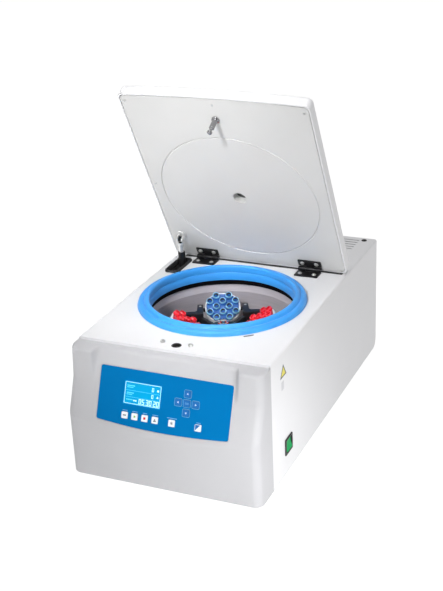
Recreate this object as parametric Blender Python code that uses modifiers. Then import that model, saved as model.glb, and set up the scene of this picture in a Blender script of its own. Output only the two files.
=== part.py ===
"""Bench laboratory centrifuge with a hinged lid, a refrigerated chamber and a four-place swing-out rotor.

Everything is in metres with +Z up. The case frame has X across the case, Y from the seam between
the deck and the front fascia towards the rear, and Z up from the case's lower edge. One empty carries
that frame, and shifts it so that the world's origin is under the middle of the whole object.
"""

import math

import bmesh
import bpy
from mathutils import Matrix, Vector

# ---------------------------------------------------------------- driving dimensions

CASE_W = 0.370
CASE_D = 0.6205
CASE_H = 0.2475
SHEET = 0.002
BEND_R = 0.004
REAR_CORNER_R = 0.018
GAP = 0.0003

FOOT_H = 0.0085
FOOT_R = 0.013

FASCIA_TOP = 0.2425
FASCIA_WALL = 0.0035
PANEL_SLOPE = 0.4
PANEL_PLANE_AT_DECK = 0.016
PANEL_W = 0.254
PANEL_H = 0.0965
PANEL_BOW = 0.0062
PANEL_X = 0.0025
PANEL_TOP_Z = 0.2148
OVERLAY_T = 0.0008
RECESS = 0.0011
CREASE_Z = 0.125
CREASE_DIP = 0.018
CREASE_ROUND = 0.004
FASCIA_FOOT = 0.0645
FASCIA_TOP_R = 0.006
FASCIA_BOTTOM_R = 0.005
CHEEK_INNER = 0.131
CHEEK_OUTER = 0.1425
CORNER_R = 0.016

DISPLAY_X = -0.0421
DISPLAY_Y = 0.0065
DISPLAY_W = 0.0726
DISPLAY_H = 0.0414
KEY_SIDE = 0.0118
KEY_CLEARANCE = 0.0004
ROW_Y = -0.0340
PAD_X = 0.0442
PAD_Y = 0.0045
PAD_STEP = 0.0166

CHAMBER_Y = 0.2255
DECK_HOLE_R = 0.150
BOWL_R = 0.1435
BOWL_FLOOR_Z = 0.095
ROUND_STEPS = 40

LID_OPEN = math.radians(61.8)
HINGE_Y = 0.410
HINGE_RISE = 0.0055
HINGE_X = 0.1105
HINGE_W = 0.048
KNUCKLE_R = 0.0047
PIN_R = 0.0021
LEAF_T = 0.0024
LID_FRONT = 0.4363
LID_BOW = 0.0050
LID_T = 0.0260
LID_WALL = 0.0025
LID_EDGE_R = 0.006
SIGHT_R = 0.0150
GROOVE_R = 0.1587
PLATE_T = 0.0020
LATCH_Y = 0.021
HOOK_Y = 0.037
HOOK_DROP = 0.038

STRUT_X = -0.157
STRUT_EYE_Y = -0.054
STRUT_EYE_Z = -0.0055
ANCHOR_Y = 0.392
ANCHOR_Z = 0.110
TUBE_R = 0.0074
ROD_R = 0.0030
EYE_HALF = 0.0030
EAR_T = 0.0024
EAR_R = 0.0060
EYE_PIN_R = 0.0025

ROTOR_TURN = math.radians(24)
TRUNNION_R = 0.0745
TRUNNION_Z = 0.196
BUCKET_TILT = math.radians(35)
BUCKET_HALF_X = 0.0350
BUCKET_HALF_Y = 0.0330
BUCKET_TOP = 0.008
BUCKET_CORNER = 0.031
BUCKET_DEPTH = 0.054
RACK_TOP = 0.0155
TRUNNION_PIN_R = 0.0040

BEZEL_PROUD = 0.0020
SWITCH_Y = 0.076
SWITCH_Z = 0.054
ROCKER_SET_IN = 0.0045
ROCKER_FACE = 0.0064
ROCKER_HALF_H = 0.0108
ROCKER_TILT = math.radians(10)

FAN_X = -0.045
FAN_Z = 0.125
INLET_X = 0.110
INLET_Z = 0.050

# ---------------------------------------------------------------- scene and helpers

for old in list(bpy.data.objects):
    bpy.data.objects.remove(old, do_unlink=True)

PARTS = bpy.data.collections.new("laboratory_centrifuge")
CUTTERS = bpy.data.collections.new("cutters")
bpy.context.scene.collection.children.link(PARTS)
bpy.context.scene.collection.children.link(CUTTERS)


def material(name, colour, roughness=0.5, metallic=0.0):
    made = bpy.data.materials.new(name)
    made.use_nodes = True
    shader = made.node_tree.nodes["Principled BSDF"]
    shader.inputs["Base Color"].default_value = (*colour, 1.0)
    shader.inputs["Roughness"].default_value = roughness
    shader.inputs["Metallic"].default_value = metallic
    made.diffuse_color = (*colour, 1.0)
    return made


def empty(name, parent=None, location=(0, 0, 0), rotation=(0, 0, 0)):
    made = bpy.data.objects.new(name, None)
    PARTS.objects.link(made)
    made.parent = parent
    made.location = location
    made.rotation_euler = rotation
    return made


def mesh_object(name, shape, surface, parent, location=(0, 0, 0), rotation=(0, 0, 0)):
    """A visible part from a bmesh, in its parent's frame."""
    mesh = bpy.data.meshes.new(name)
    bmesh.ops.recalc_face_normals(shape, faces=shape.faces)
    shape.to_mesh(mesh)
    shape.free()
    mesh.materials.append(surface)
    made = bpy.data.objects.new(name, mesh)
    PARTS.objects.link(made)
    made.parent = parent
    made.location = location
    made.rotation_euler = rotation
    return made


def smooth(part, degrees=35):
    part.data.shade_smooth()
    part.data.set_sharp_from_angle(angle=math.radians(degrees))
    return part


def helper(part, shape, label):
    """A hidden object with this shape, in the same place as the part that it cuts or joins."""
    mesh = bpy.data.meshes.new(f"{part.name}_{label}")
    bmesh.ops.recalc_face_normals(shape, faces=shape.faces)
    shape.to_mesh(mesh)
    shape.free()
    made = bpy.data.objects.new(f"{part.name}_{label}", mesh)
    CUTTERS.objects.link(made)
    made.parent = part.parent
    made.location = part.location
    made.rotation_euler = part.rotation_euler
    made.hide_render = True
    made.display_type = "WIRE"
    return made


def boolean(part, shape, operation, label):
    change = part.modifiers.new(label, "BOOLEAN")
    change.operation = operation
    change.object = helper(part, shape, label)
    change.solver = "EXACT"
    return part


def cut(part, shape, label):
    return boolean(part, shape, "DIFFERENCE", label)


def join(part, shape, label):
    return boolean(part, shape, "UNION", label)


def edges_along(shape, axis):
    return [
        edge
        for edge in shape.edges
        if abs((edge.verts[0].co - edge.verts[1].co).normalized()[axis]) > 0.99
    ]


def round_edges(shape, edges, radius, segments=3):
    bmesh.ops.bevel(
        shape, geom=edges, offset=radius, segments=segments, profile=0.5, affect="EDGES"
    )


def add_box(shape, low, high, turn=None):
    """A box between two corners, turned by a matrix about the shape's own origin."""
    size = Vector(high) - Vector(low)
    middle = (Vector(high) + Vector(low)) / 2
    place = Matrix.Translation(middle) @ Matrix.Diagonal((*size, 1.0))
    bmesh.ops.create_cube(shape, size=1.0, matrix=(turn @ place) if turn else place)


def box(low, high, radius=0.0, axis=2, segments=3, turn=None):
    """A box, with the edges along one axis rounded where a radius is given."""
    shape = bmesh.new()
    add_box(shape, low, high)
    if radius:
        round_edges(shape, edges_along(shape, axis), radius, segments)
    if turn:
        bmesh.ops.transform(shape, matrix=turn, verts=shape.verts)
    return shape


def along(axis):
    """Turns a cylinder, which is made along Z, to lie along X, Y or Z."""
    return {
        "X": Matrix.Rotation(math.pi / 2, 4, "Y"),
        "Y": Matrix.Rotation(-math.pi / 2, 4, "X"),
        "Z": Matrix.Identity(4),
    }[axis]


def add_cylinder(shape, radius, low, high, axis="Z", centre=(0, 0, 0), sides=24, top=None):
    """A cylinder or cone between two stations of its axis."""
    middle = (low + high) / 2
    bmesh.ops.create_cone(
        shape,
        cap_ends=True,
        segments=sides,
        radius1=radius,
        radius2=radius if top is None else top,
        depth=high - low,
        matrix=Matrix.Translation(centre) @ along(axis) @ Matrix.Translation((0, 0, middle)),
    )


def cylinder(radius, low, high, axis="Z", centre=(0, 0, 0), sides=24, top=None):
    shape = bmesh.new()
    add_cylinder(shape, radius, low, high, axis, centre, sides, top)
    return shape


def plate(outline, low, high):
    """A flat outline in XY made solid between two heights."""
    shape = bmesh.new()
    floor = [shape.verts.new((x, y, low)) for x, y in outline]
    face = shape.faces.new(floor)
    lifted = bmesh.ops.extrude_face_region(shape, geom=[face])
    raised = [item for item in lifted["geom"] if isinstance(item, bmesh.types.BMVert)]
    bmesh.ops.translate(shape, verts=raised, vec=(0, 0, high - low))
    return shape


def rounded_outline(left, right, rear, front, radius, bow=0.0, steps=4):
    """A rectangle in XY with rounded corners, whose front edge bows outwards in the middle."""
    points = []
    corners = (
        (right - radius, rear - radius, 0),
        (left + radius, rear - radius, 90),
        (left + radius, front + radius, 180),
        (right - radius, front + radius, 270),
    )
    for x, y, start in corners:
        for step in range(steps + 1):
            angle = math.radians(start + 90 * step / steps)
            points.append((x + radius * math.cos(angle), y + radius * math.sin(angle)))
        if start == 180 and bow:
            span = right - left - 2 * radius
            for step in range(1, 8):
                share = step / 8
                points.append((left + radius + span * share, front - 4 * bow * share * (1 - share)))
    return points


def turned(name, profile, surface, parent, location=(0, 0, 0), steps=ROUND_STEPS, closed=True):
    """A turned part: the profile, as (radius, height) from the top down its outer side, swept round Z."""
    mesh = bpy.data.meshes.new(name)
    points = [(radius, 0.0, height) for radius, height in profile]
    edges = [(i, i + 1) for i in range(len(points) - 1)]
    if closed:
        edges.append((len(points) - 1, 0))
    mesh.from_pydata(points, edges, [])
    mesh.materials.append(surface)
    made = bpy.data.objects.new(name, mesh)
    PARTS.objects.link(made)
    made.parent = parent
    made.location = location
    sweep = made.modifiers.new("turn", "SCREW")
    sweep.steps = steps
    sweep.render_steps = steps
    sweep.use_merge_vertices = True
    sweep.merge_threshold = 0.00001
    sweep.use_smooth_shade = True
    return made


# ---------------------------------------------------------------- materials

WHITE_PAINT = material("white_paint", (0.86, 0.86, 0.87), 0.35)
FASCIA_PLASTIC = material("fascia_plastic", (0.76, 0.77, 0.79), 0.45)
LID_PAINT = material("lid_paint", (0.80, 0.81, 0.82), 0.40)
ZINC = material("zinc_sheet", (0.62, 0.63, 0.65), 0.40, 1.0)
PANEL_BLUE = material("panel_blue", (0.0, 0.16, 0.45), 0.40)
KEY_WHITE = material("key_white", (0.85, 0.87, 0.90), 0.40)
KEY_BLUE = material("key_blue", (0.02, 0.20, 0.50), 0.40)
LCD = material("lcd", (0.0, 0.45, 0.85), 0.25)
BOARD = material("circuit_board", (0.02, 0.22, 0.08), 0.55)
GASKET_BLUE = material("gasket_blue", (0.06, 0.36, 0.90), 0.45)
RUBBER = material("black_rubber", (0.02, 0.02, 0.02), 0.70)
BLACK_STEEL = material("black_steel", (0.02, 0.02, 0.02), 0.45, 0.6)
BLACK_PLASTIC = material("black_plastic", (0.02, 0.02, 0.02), 0.50)
STAINLESS = material("stainless", (0.50, 0.48, 0.50), 0.35, 1.0)
CHROME = material("chrome", (0.80, 0.80, 0.82), 0.12, 1.0)
GLASS = material("sight_glass", (0.10, 0.11, 0.12), 0.08)
ROTOR_BLACK = material("rotor_black", (0.03, 0.03, 0.035), 0.50)
BUCKET_WHITE = material("bucket_white", (0.85, 0.86, 0.88), 0.40)
RACK_BLUE = material("rack_blue", (0.01, 0.18, 0.50), 0.40)
RACK_RED = material("rack_red", (0.75, 0.01, 0.03), 0.40)
MOTOR_GREY = material("motor_grey", (0.25, 0.25, 0.27), 0.50, 0.8)
COMPRESSOR_BLACK = material("compressor_black", (0.03, 0.03, 0.03), 0.35, 0.3)
ROCKER_GREEN = material("rocker_green", (0.02, 0.32, 0.10), 0.35)

# ---------------------------------------------------------------- frames

ROCKER_REACH = ROCKER_FACE * math.cos(ROCKER_TILT) + ROCKER_HALF_H * math.sin(ROCKER_TILT)
RIGHT = CASE_W / 2 - ROCKER_SET_IN + ROCKER_REACH
LEFT = -CASE_W / 2


def slant(z):
    """How far the sloping panel face stands in front of the seam at this height."""
    return PANEL_PLANE_AT_DECK + PANEL_SLOPE * (CASE_H - z)


def crease_height(x):
    """The height of the crease under the panel face, which dips in the middle."""
    return CREASE_Z - CREASE_DIP * (1 - (2 * x / CASE_W) ** 2)


def lower_face(crease, z):
    """How far the fascia stands in front of the seam under the crease, where it falls back."""
    return slant(crease) + (FASCIA_FOOT - slant(crease)) * (1 - z / crease)


FRONT = lower_face(crease_height(0), crease_height(0) - CREASE_ROUND)
FRAME = empty("case_frame", location=(-(RIGHT + LEFT) / 2, -(CASE_D - FRONT) / 2, FOOT_H))

PANEL_SPAN = math.hypot(1, PANEL_SLOPE)
PANEL_MID_Z = PANEL_TOP_Z - PANEL_H / 2 / PANEL_SPAN
PANEL = empty(
    "panel_frame",
    FRAME,
    (PANEL_X, -slant(PANEL_MID_Z), PANEL_MID_Z),
    (math.atan2(1, PANEL_SLOPE), 0, 0),
)
LID = empty("lid_axis", FRAME, (0, HINGE_Y, CASE_H + HINGE_RISE), (-LID_OPEN, 0, 0))
CHAMBER = empty("chamber_axis", FRAME, (0, CHAMBER_Y, 0))
ROTOR = empty("rotor_axis", CHAMBER, (0, 0, 0), (0, 0, ROTOR_TURN))

# ---------------------------------------------------------------- case


def case_wrap():
    """Deck and sides bent from one sheet, open at the front, the rear and the bottom."""
    shape = box((-CASE_W / 2, 0, 0), (CASE_W / 2, CASE_D, CASE_H))
    deck_edges = [
        edge for edge in edges_along(shape, 1) if edge.verts[0].co.z > CASE_H / 2
    ]
    round_edges(shape, deck_edges, BEND_R, 3)
    open_faces = [
        face for face in shape.faces if abs(face.normal.y) > 0.9 or face.normal.z < -0.9
    ]
    bmesh.ops.delete(shape, geom=open_faces, context="FACES")
    rear_corners = [
        vert for vert in shape.verts if vert.co.y > CASE_D / 2 and vert.co.z < 0.001
    ]
    bmesh.ops.bevel(
        shape,
        geom=rear_corners,
        offset=REAR_CORNER_R,
        segments=4,
        profile=0.5,
        affect="VERTICES",
    )
    wrap = mesh_object("case_wrap", shape, WHITE_PAINT, FRAME)
    wall = wrap.modifiers.new("sheet", "SOLIDIFY")
    wall.thickness = SHEET
    wall.offset = -1
    wall.use_even_offset = True
    top = CASE_H + 0.01
    under = CASE_H - 0.01
    cut(wrap, cylinder(DECK_HOLE_R, under, top, "Z", (0, CHAMBER_Y, 0), 48), "chamber_hole")
    cut(wrap, cylinder(0.0085, under, top, "Z", (0, LATCH_Y, 0), 16), "latch_hole")
    cut(wrap, box((STRUT_X - 0.0095, 0.323, under), (STRUT_X + 0.0155, 0.3935, top)), "strut_hole")
    vents = bmesh.new()
    for row in range(5):
        y = 0.552 + 0.0125 * row
        for centre in (-0.108, 0.0, 0.108):
            add_box(vents, (centre - 0.044, y, under), (centre + 0.044, y + 0.0034, top))
    cut(wrap, vents, "vents")
    side = CASE_W / 2
    lip = box((BEND_R - side, 0, CASE_H - 0.015), (side - BEND_R, SHEET, CASE_H - SHEET / 2))
    join(wrap, lip, "front_lip")
    cut(
        wrap,
        box(
            (side - 0.01, SWITCH_Y - 0.0152, SWITCH_Z - 0.0137),
            (side + 0.01, SWITCH_Y + 0.0152, SWITCH_Z + 0.0137),
        ),
        "switch_hole",
    )
    return smooth(wrap)


def rear_panel():
    inside = CASE_W / 2 - SHEET - GAP
    panel = mesh_object(
        "rear_panel",
        box(
            (-inside, CASE_D - 0.0065, 0.0045),
            (inside, CASE_D - 0.0050, CASE_H - SHEET - GAP),
            BEND_R,
            1,
            2,
        ),
        ZINC,
        FRAME,
    )
    slots = bmesh.new()
    for row in range(11):
        rise = (row - 5) * 0.0105
        half = math.sqrt(0.058**2 - rise**2)
        add_box(
            slots,
            (FAN_X - half, CASE_D - 0.02, FAN_Z + rise - 0.0026),
            (FAN_X + half, CASE_D + 0.02, FAN_Z + rise + 0.0026),
        )
    cut(panel, slots, "fan_slots")
    cut(
        panel,
        box(
            (INLET_X - 0.0142, CASE_D - 0.02, INLET_Z - 0.0107),
            (INLET_X + 0.0142, CASE_D + 0.02, INLET_Z + 0.0107),
        ),
        "inlet_hole",
    )
    return panel


def base_plate():
    inside = CASE_W / 2 - SHEET - GAP
    return mesh_object(
        "base_plate", box((-inside, 0.001, 0.0006), (inside, CASE_D - 0.0100, 0.0031)), ZINC, FRAME
    )


def feet():
    for side, x in (("left", -0.150), ("right", 0.150)):
        for end, y in (("front", 0.030), ("rear", 0.572)):
            shape = cylinder(FOOT_R - 0.002, -FOOT_H, GAP, "Z", (x, y, 0), 20, FOOT_R)
            smooth(mesh_object(f"foot_{end}_{side}", shape, RUBBER, FRAME))


# ---------------------------------------------------------------- front fascia and keypad


def ease(value):
    """A smooth step from 0 to 1."""
    value = min(max(value, 0.0), 1.0)
    return value * value * (3 - 2 * value)


def fascia_depth(x, z):
    """How far the fascia stands in front of the seam."""
    crease = crease_height(x)
    depth = slant(z) if z >= crease else lower_face(crease, z)
    cheek = 0.036 + 0.08 * (CASE_H - z)
    share = ease((abs(x) - CHEEK_INNER) / (CHEEK_OUTER - CHEEK_INNER))
    depth = max(depth, depth + (cheek - depth) * share)
    for edge, radius in ((FASCIA_TOP - z, FASCIA_TOP_R), (z - GAP, FASCIA_BOTTOM_R)):
        if edge < radius:
            depth -= radius - math.sqrt(max(radius**2 - (radius - edge) ** 2, 0.0))
    corner = min(CORNER_R, depth - 0.010)
    into = abs(x) - (CASE_W / 2 - corner)
    if into > 0:
        depth -= corner - math.sqrt(max(corner**2 - into**2, 0.0))
    return depth


def fascia_columns():
    """The stations across the fascia, closer together round its corners and at the cheeks."""
    half = [0.0, 0.045, 0.090, CHEEK_INNER, 0.5 * (CHEEK_INNER + CHEEK_OUTER), CHEEK_OUTER]
    for angle in (0, 25, 50, 70, 90):
        half.append(CASE_W / 2 - CORNER_R * (1 - math.sin(math.radians(angle))))
    return [-x for x in reversed(half[1:])] + half


def fascia_rows(x):
    """The heights of the stations down the fascia at this place across it."""
    crease = crease_height(x)
    top = [FASCIA_TOP - FASCIA_TOP_R * (1 - math.cos(math.radians(a))) for a in (0, 35, 65, 90)]
    slope = [0.220, 0.197, 0.186, 0.176]
    middle = [0.176 + (crease + CREASE_ROUND - 0.176) * share for share in (0.5, 1.0)]
    bottom = [GAP + FASCIA_BOTTOM_R * (1 - math.sin(math.radians(a))) for a in (0, 45, 90)]
    return top + slope + middle + [crease - CREASE_ROUND, 0.5 * crease] + bottom


def front_fascia():
    """A moulded cover, open at the back: sections at each height lofted, then closed above and below."""
    shape = bmesh.new()
    columns = fascia_columns()
    stations = []
    for x in columns:
        heights = fascia_rows(x)
        stations.append([(x, -fascia_depth(x, z), z) for z in heights])
    left_end = [(columns[0], -GAP, z) for _, _, z in stations[0]]
    right_end = [(columns[-1], -GAP, z) for _, _, z in stations[-1]]
    grid = [left_end] + stations + [right_end]
    verts = [[shape.verts.new(point) for point in column] for column in grid]
    for left, right in zip(verts, verts[1:]):
        for row in range(len(left) - 1):
            shape.faces.new((left[row], left[row + 1], right[row + 1], right[row]))
    shape.faces.new([column[0] for column in verts])
    shape.faces.new([column[-1] for column in reversed(verts)])
    fascia = mesh_object("front_fascia", shape, FASCIA_PLASTIC, FRAME)
    wall = fascia.modifiers.new("wall", "SOLIDIFY")
    wall.thickness = FASCIA_WALL
    wall.offset = -1
    onto_panel = Matrix.Translation(PANEL.location) @ PANEL.rotation_euler.to_matrix().to_4x4()
    recess = plate(panel_outline(0.0016), -RECESS, 0.02)
    bmesh.ops.transform(recess, matrix=onto_panel, verts=recess.verts)
    cut(fascia, recess, "panel_recess")
    window = box((-0.086, -0.042, -0.02), (0.078, 0.031, 0.02), turn=onto_panel)
    cut(fascia, window, "panel_window")
    return smooth(fascia, 50)


def panel_outline(margin=0.0):
    half_w = PANEL_W / 2 + margin
    half_h = PANEL_H / 2 + margin
    return rounded_outline(-half_w, half_w, half_h, -half_h, 0.004 + margin, PANEL_BOW, 3)


KEYS = {
    "key_select": (-0.0720, ROW_Y),
    "key_start": (-0.0525, ROW_Y),
    "key_stop": (-0.0329, ROW_Y),
    "key_program": (-0.0130, ROW_Y),
    "key_cooling": (0.0193, ROW_Y),
    "key_lid": (0.0693, ROW_Y),
    "key_up": (PAD_X, PAD_Y + PAD_STEP),
    "key_left": (PAD_X - PAD_STEP, PAD_Y),
    "key_enter": (PAD_X, PAD_Y),
    "key_right": (PAD_X + PAD_STEP, PAD_Y),
    "key_down": (PAD_X, PAD_Y - PAD_STEP),
}


def keypad():
    """The overlay sheet with its display window, the keys in their holes, and the board behind them."""
    back = GAP - RECESS
    sheet = plate(panel_outline(), back, back + OVERLAY_T)
    overlay = mesh_object("keypad_overlay", sheet, PANEL_BLUE, PANEL)
    holes = bmesh.new()
    add_box(
        holes,
        (DISPLAY_X - DISPLAY_W / 2, DISPLAY_Y - DISPLAY_H / 2, -0.01),
        (DISPLAY_X + DISPLAY_W / 2, DISPLAY_Y + DISPLAY_H / 2, 0.01),
    )
    reach = KEY_SIDE / 2 + KEY_CLEARANCE
    for x, y in KEYS.values():
        add_box(holes, (x - reach, y - reach, -0.01), (x + reach, y + reach, 0.01))
    cut(overlay, holes, "openings")
    for name, (x, y) in KEYS.items():
        half = KEY_SIDE / 2
        shape = box((-half, -half, -0.0012), (half, half, 0.0008), 0.0016, 2, 2)
        surface = KEY_WHITE if y == ROW_Y else KEY_BLUE
        mesh_object(name, shape, surface, PANEL, (x, y, 0))
    mesh_object(
        "display_module",
        box(
            (DISPLAY_X - 0.0395, DISPLAY_Y - 0.0235, -0.0085),
            (DISPLAY_X + 0.0395, DISPLAY_Y + 0.0235, -0.0012),
        ),
        LCD,
        PANEL,
    )
    mesh_object("keypad_board", box((-0.0840, -0.0405, -0.0104), (0.0765, 0.0298, -0.0088)), BOARD, PANEL)


# ---------------------------------------------------------------- lid


def lid_outline(inset):
    edge = CASE_W / 2 - inset
    return rounded_outline(
        -edge, edge, 0.0075 - inset, inset - LID_FRONT, 0.010, LID_BOW, 3
    )


def lid():
    """The lid's parts in the frame of its hinge axis, which lies level when the lid is shut."""
    under = HINGE_RISE
    centre = (0, CHAMBER_Y - HINGE_Y, 0)
    outside = plate(lid_outline(0.0), under, under + LID_T)
    outer_edges = [
        edge for edge in outside.edges if all(v.co.z > under + LID_T / 2 for v in edge.verts)
    ]
    round_edges(outside, outer_edges, LID_EDGE_R)
    shell = mesh_object("lid_shell", outside, WHITE_PAINT, LID)
    cut(shell, plate(lid_outline(LID_WALL), under - 0.01, under + LID_T - LID_WALL), "hollow")
    cut(shell, cylinder(SIGHT_R, 0, 0.1, "Z", centre), "sight_hole")
    smooth(shell)
    inset = LID_WALL + GAP
    liner = plate(lid_outline(inset), under, under + PLATE_T)
    sheet = mesh_object("lid_inner_plate", liner, LID_PAINT, LID)
    groove = cylinder(GROOVE_R + 0.001, under - 0.01, under + 0.0008, "Z", centre, 48)
    cut(sheet, groove, "groove")
    disc = cylinder(GROOVE_R - 0.001, under, under + PLATE_T, "Z", centre, 48)
    join(sheet, disc, "disc")
    cut(sheet, cylinder(SIGHT_R, 0, 0.1, "Z", centre), "sight_hole")
    glass = cylinder(SIGHT_R - 0.0005, under + 0.0004, under + LID_T + 0.0006, "Z", centre)
    smooth(mesh_object("lid_sight_glass", glass, GLASS, LID))
    striker_profile = (
        (0.0, -GAP),
        (0.0075, -GAP),
        (0.0075, -0.0030),
        (0.0050, -0.0036),
        (0.0050, -0.0230),
        (0.0026, -0.0245),
        (0.0026, -0.0300),
        (0.0048, -0.0315),
        (0.0048, -0.0340),
        (0.0030, -0.0360),
        (0.0, -0.0360),
    )
    striker_y = LATCH_Y - HINGE_Y
    turned("lid_striker_pin", striker_profile, CHROME, LID, (0, striker_y, under), 16, False)
    bracket = mesh_object(
        "strut_lid_bracket",
        box((-0.0085, -0.0105, -GAP - 0.0016), (0.0085, 0.0090, -GAP)),
        BLACK_STEEL,
        LID,
        (STRUT_X, STRUT_EYE_Y, under),
    )
    eye = STRUT_EYE_Z - under
    for side, sign in (("left", -1), ("right", 1)):
        low, high = sorted((sign * (EYE_HALF + 0.0006), sign * (EYE_HALF + 0.0006 + EAR_T)))
        join(bracket, box((low, -0.0080, eye), (high, EAR_R, -0.0010)), f"ear_{side}")
        join(bracket, cylinder(EAR_R, low, high, "X", (0, 0, eye), 20), f"ear_{side}_end")
    slope = Matrix.Translation((0, 0, eye)) @ Matrix.Rotation(math.radians(-40), 4, "X")
    cut(bracket, box((-0.01, -0.03, -0.0300), (0.01, 0.0, -EAR_R), turn=slope), "ear_slope")
    join(bracket, cylinder(EYE_PIN_R, -0.0074, 0.0074, "X", (0, 0, eye), 12), "pin")


def leaf(name, side, parent, surface, low, high, location):
    """One hinge leaf: a flat plate with its own knuckles round the axis and a bore for the pin."""
    shape = box(low, high)
    made = mesh_object(name, shape, surface, parent, location)
    third = HINGE_W / 6
    spans = ((-third, third),) if side == "lid" else ((-3 * third, -third), (third, 3 * third))
    for index, (start, end) in enumerate(spans):
        slack = GAP if side == "lid" else 0.0
        begin = start + slack if side == "lid" or start < 0 else start + GAP
        finish = end - slack if side == "lid" or end > 0 else end - GAP
        knuckle = cylinder(KNUCKLE_R, begin, finish, "X", (0, 0, 0), 12)
        join(made, knuckle, f"knuckle_{index}")
    relief = bmesh.new()
    reach = KNUCKLE_R + 0.0006
    if side == "lid":
        keep = ((-3.2 * third, -third + GAP), (third - GAP, 3.2 * third))
    else:
        keep = ((-third - GAP, third + GAP),)
    for start, end in keep:
        add_box(relief, (start, -reach, -reach), (end, reach, reach))
    cut(made, relief, "relief")
    cut(made, cylinder(PIN_R + GAP, -0.05, 0.05, "X", (0, 0, 0), 12), "bore")
    return made


def hinges():
    for label, x in (("left", -HINGE_X), ("right", HINGE_X)):
        half = HINGE_W / 2
        low = -HINGE_RISE + GAP
        leaf(
            f"hinge_deck_leaf_{label}",
            "deck",
            FRAME,
            BLACK_STEEL,
            (-half, -0.029, low),
            (half, 0.0, low + LEAF_T),
            (x, HINGE_Y, CASE_H + HINGE_RISE),
        )
        high = HINGE_RISE - GAP
        leaf(
            f"hinge_lid_leaf_{label}",
            "lid",
            LID,
            BLACK_STEEL,
            (-half, -0.0205, high - LEAF_T),
            (half, 0.0, high),
            (x, 0, 0),
        )
        pin = cylinder(PIN_R, -half - 0.0004, half + 0.0004, "X", (0, 0, 0), 12)
        smooth(mesh_object(f"hinge_pin_{label}", pin, CHROME, FRAME, (x, HINGE_Y, CASE_H + HINGE_RISE)))


def strut_points():
    """The strut's upper eye with the lid open, and its lower end, in the case frame's YZ plane."""
    c = math.cos(LID_OPEN)
    s = math.sin(LID_OPEN)
    upper = Vector(
        (
            STRUT_X,
            HINGE_Y + STRUT_EYE_Y * c + STRUT_EYE_Z * s,
            CASE_H + HINGE_RISE - STRUT_EYE_Y * s + STRUT_EYE_Z * c,
        )
    )
    return upper, Vector((STRUT_X, ANCHOR_Y, ANCHOR_Z))


def gas_spring():
    """Tube down from the lid's stud, with the rod below it; the rod's eye is loose on its anchor pin."""
    upper, lower = strut_points()
    length = (upper - lower).length
    lean = math.atan2(-(upper.y - lower.y), upper.z - lower.z)
    axis = empty("strut_axis", FRAME, upper, (lean, 0, 0))
    tube_top = -0.0280
    tube_end = -0.1150
    barrel = cylinder(TUBE_R, tube_end, tube_top, sides=16)
    tube = mesh_object("gas_spring_cylinder", barrel, BLACK_STEEL, axis)
    join(tube, cylinder(0.0048, tube_top - 0.0020, -0.0100, sides=16), "neck")
    join(tube, box((-EYE_HALF, -0.0040, -0.0115), (EYE_HALF, 0.0040, 0.0)), "eye_stem")
    join(tube, cylinder(EAR_R, -EYE_HALF, EYE_HALF, "X", (0, 0, 0), 20), "eye")
    cut(tube, cylinder(EYE_PIN_R + GAP, -0.02, 0.02, "X", (0, 0, 0), 12), "pin_bore")
    cut(tube, cylinder(ROD_R + GAP, tube_end - 0.01, -0.0500, sides=12), "rod_bore")
    smooth(tube)
    rod = mesh_object(
        "gas_spring_rod", cylinder(ROD_R, -length + 0.0085, -0.1020, sides=12), CHROME, axis
    )
    join(rod, cylinder(0.0100, -0.0030, 0.0030, "X", (0, 0, -length), 20), "eye")
    cut(rod, cylinder(0.0070, -0.02, 0.02, "X", (0, 0, -length), 20), "eye_bore")
    smooth(rod)
    anchor = mesh_object(
        "strut_anchor",
        box(
            (-CASE_W / 2 + SHEET + GAP, ANCHOR_Y - 0.014, ANCHOR_Z - 0.014),
            (-0.1795, ANCHOR_Y + 0.014, ANCHOR_Z + 0.014),
        ),
        BLACK_STEEL,
        FRAME,
    )
    join(anchor, cylinder(0.0026, -0.1810, STRUT_X + 0.0045, "X", (0, ANCHOR_Y, ANCHOR_Z), 12), "pin")


def strut_grommet():
    """The black frame round the strut's slot in the deck, with a flange above and a collar through it."""
    low = (STRUT_X - 0.0115, 0.3205, CASE_H + GAP)
    high = (STRUT_X + 0.0185, 0.3960, CASE_H + 0.0052)
    frame = mesh_object("strut_grommet", box(low, high, 0.006, 2, 3), RUBBER, FRAME)
    collar = box(
        (STRUT_X - 0.0092, 0.3233, CASE_H - 0.0060), (STRUT_X + 0.0152, 0.3932, CASE_H + 0.0030)
    )
    join(frame, collar, "collar")
    slot = box(
        (STRUT_X - 0.0082, 0.3255, CASE_H - 0.02), (STRUT_X + 0.0128, 0.3918, CASE_H + 0.02), 0.003, 2, 2
    )
    cut(frame, slot, "slot")
    return frame


# ---------------------------------------------------------------- chamber


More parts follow.
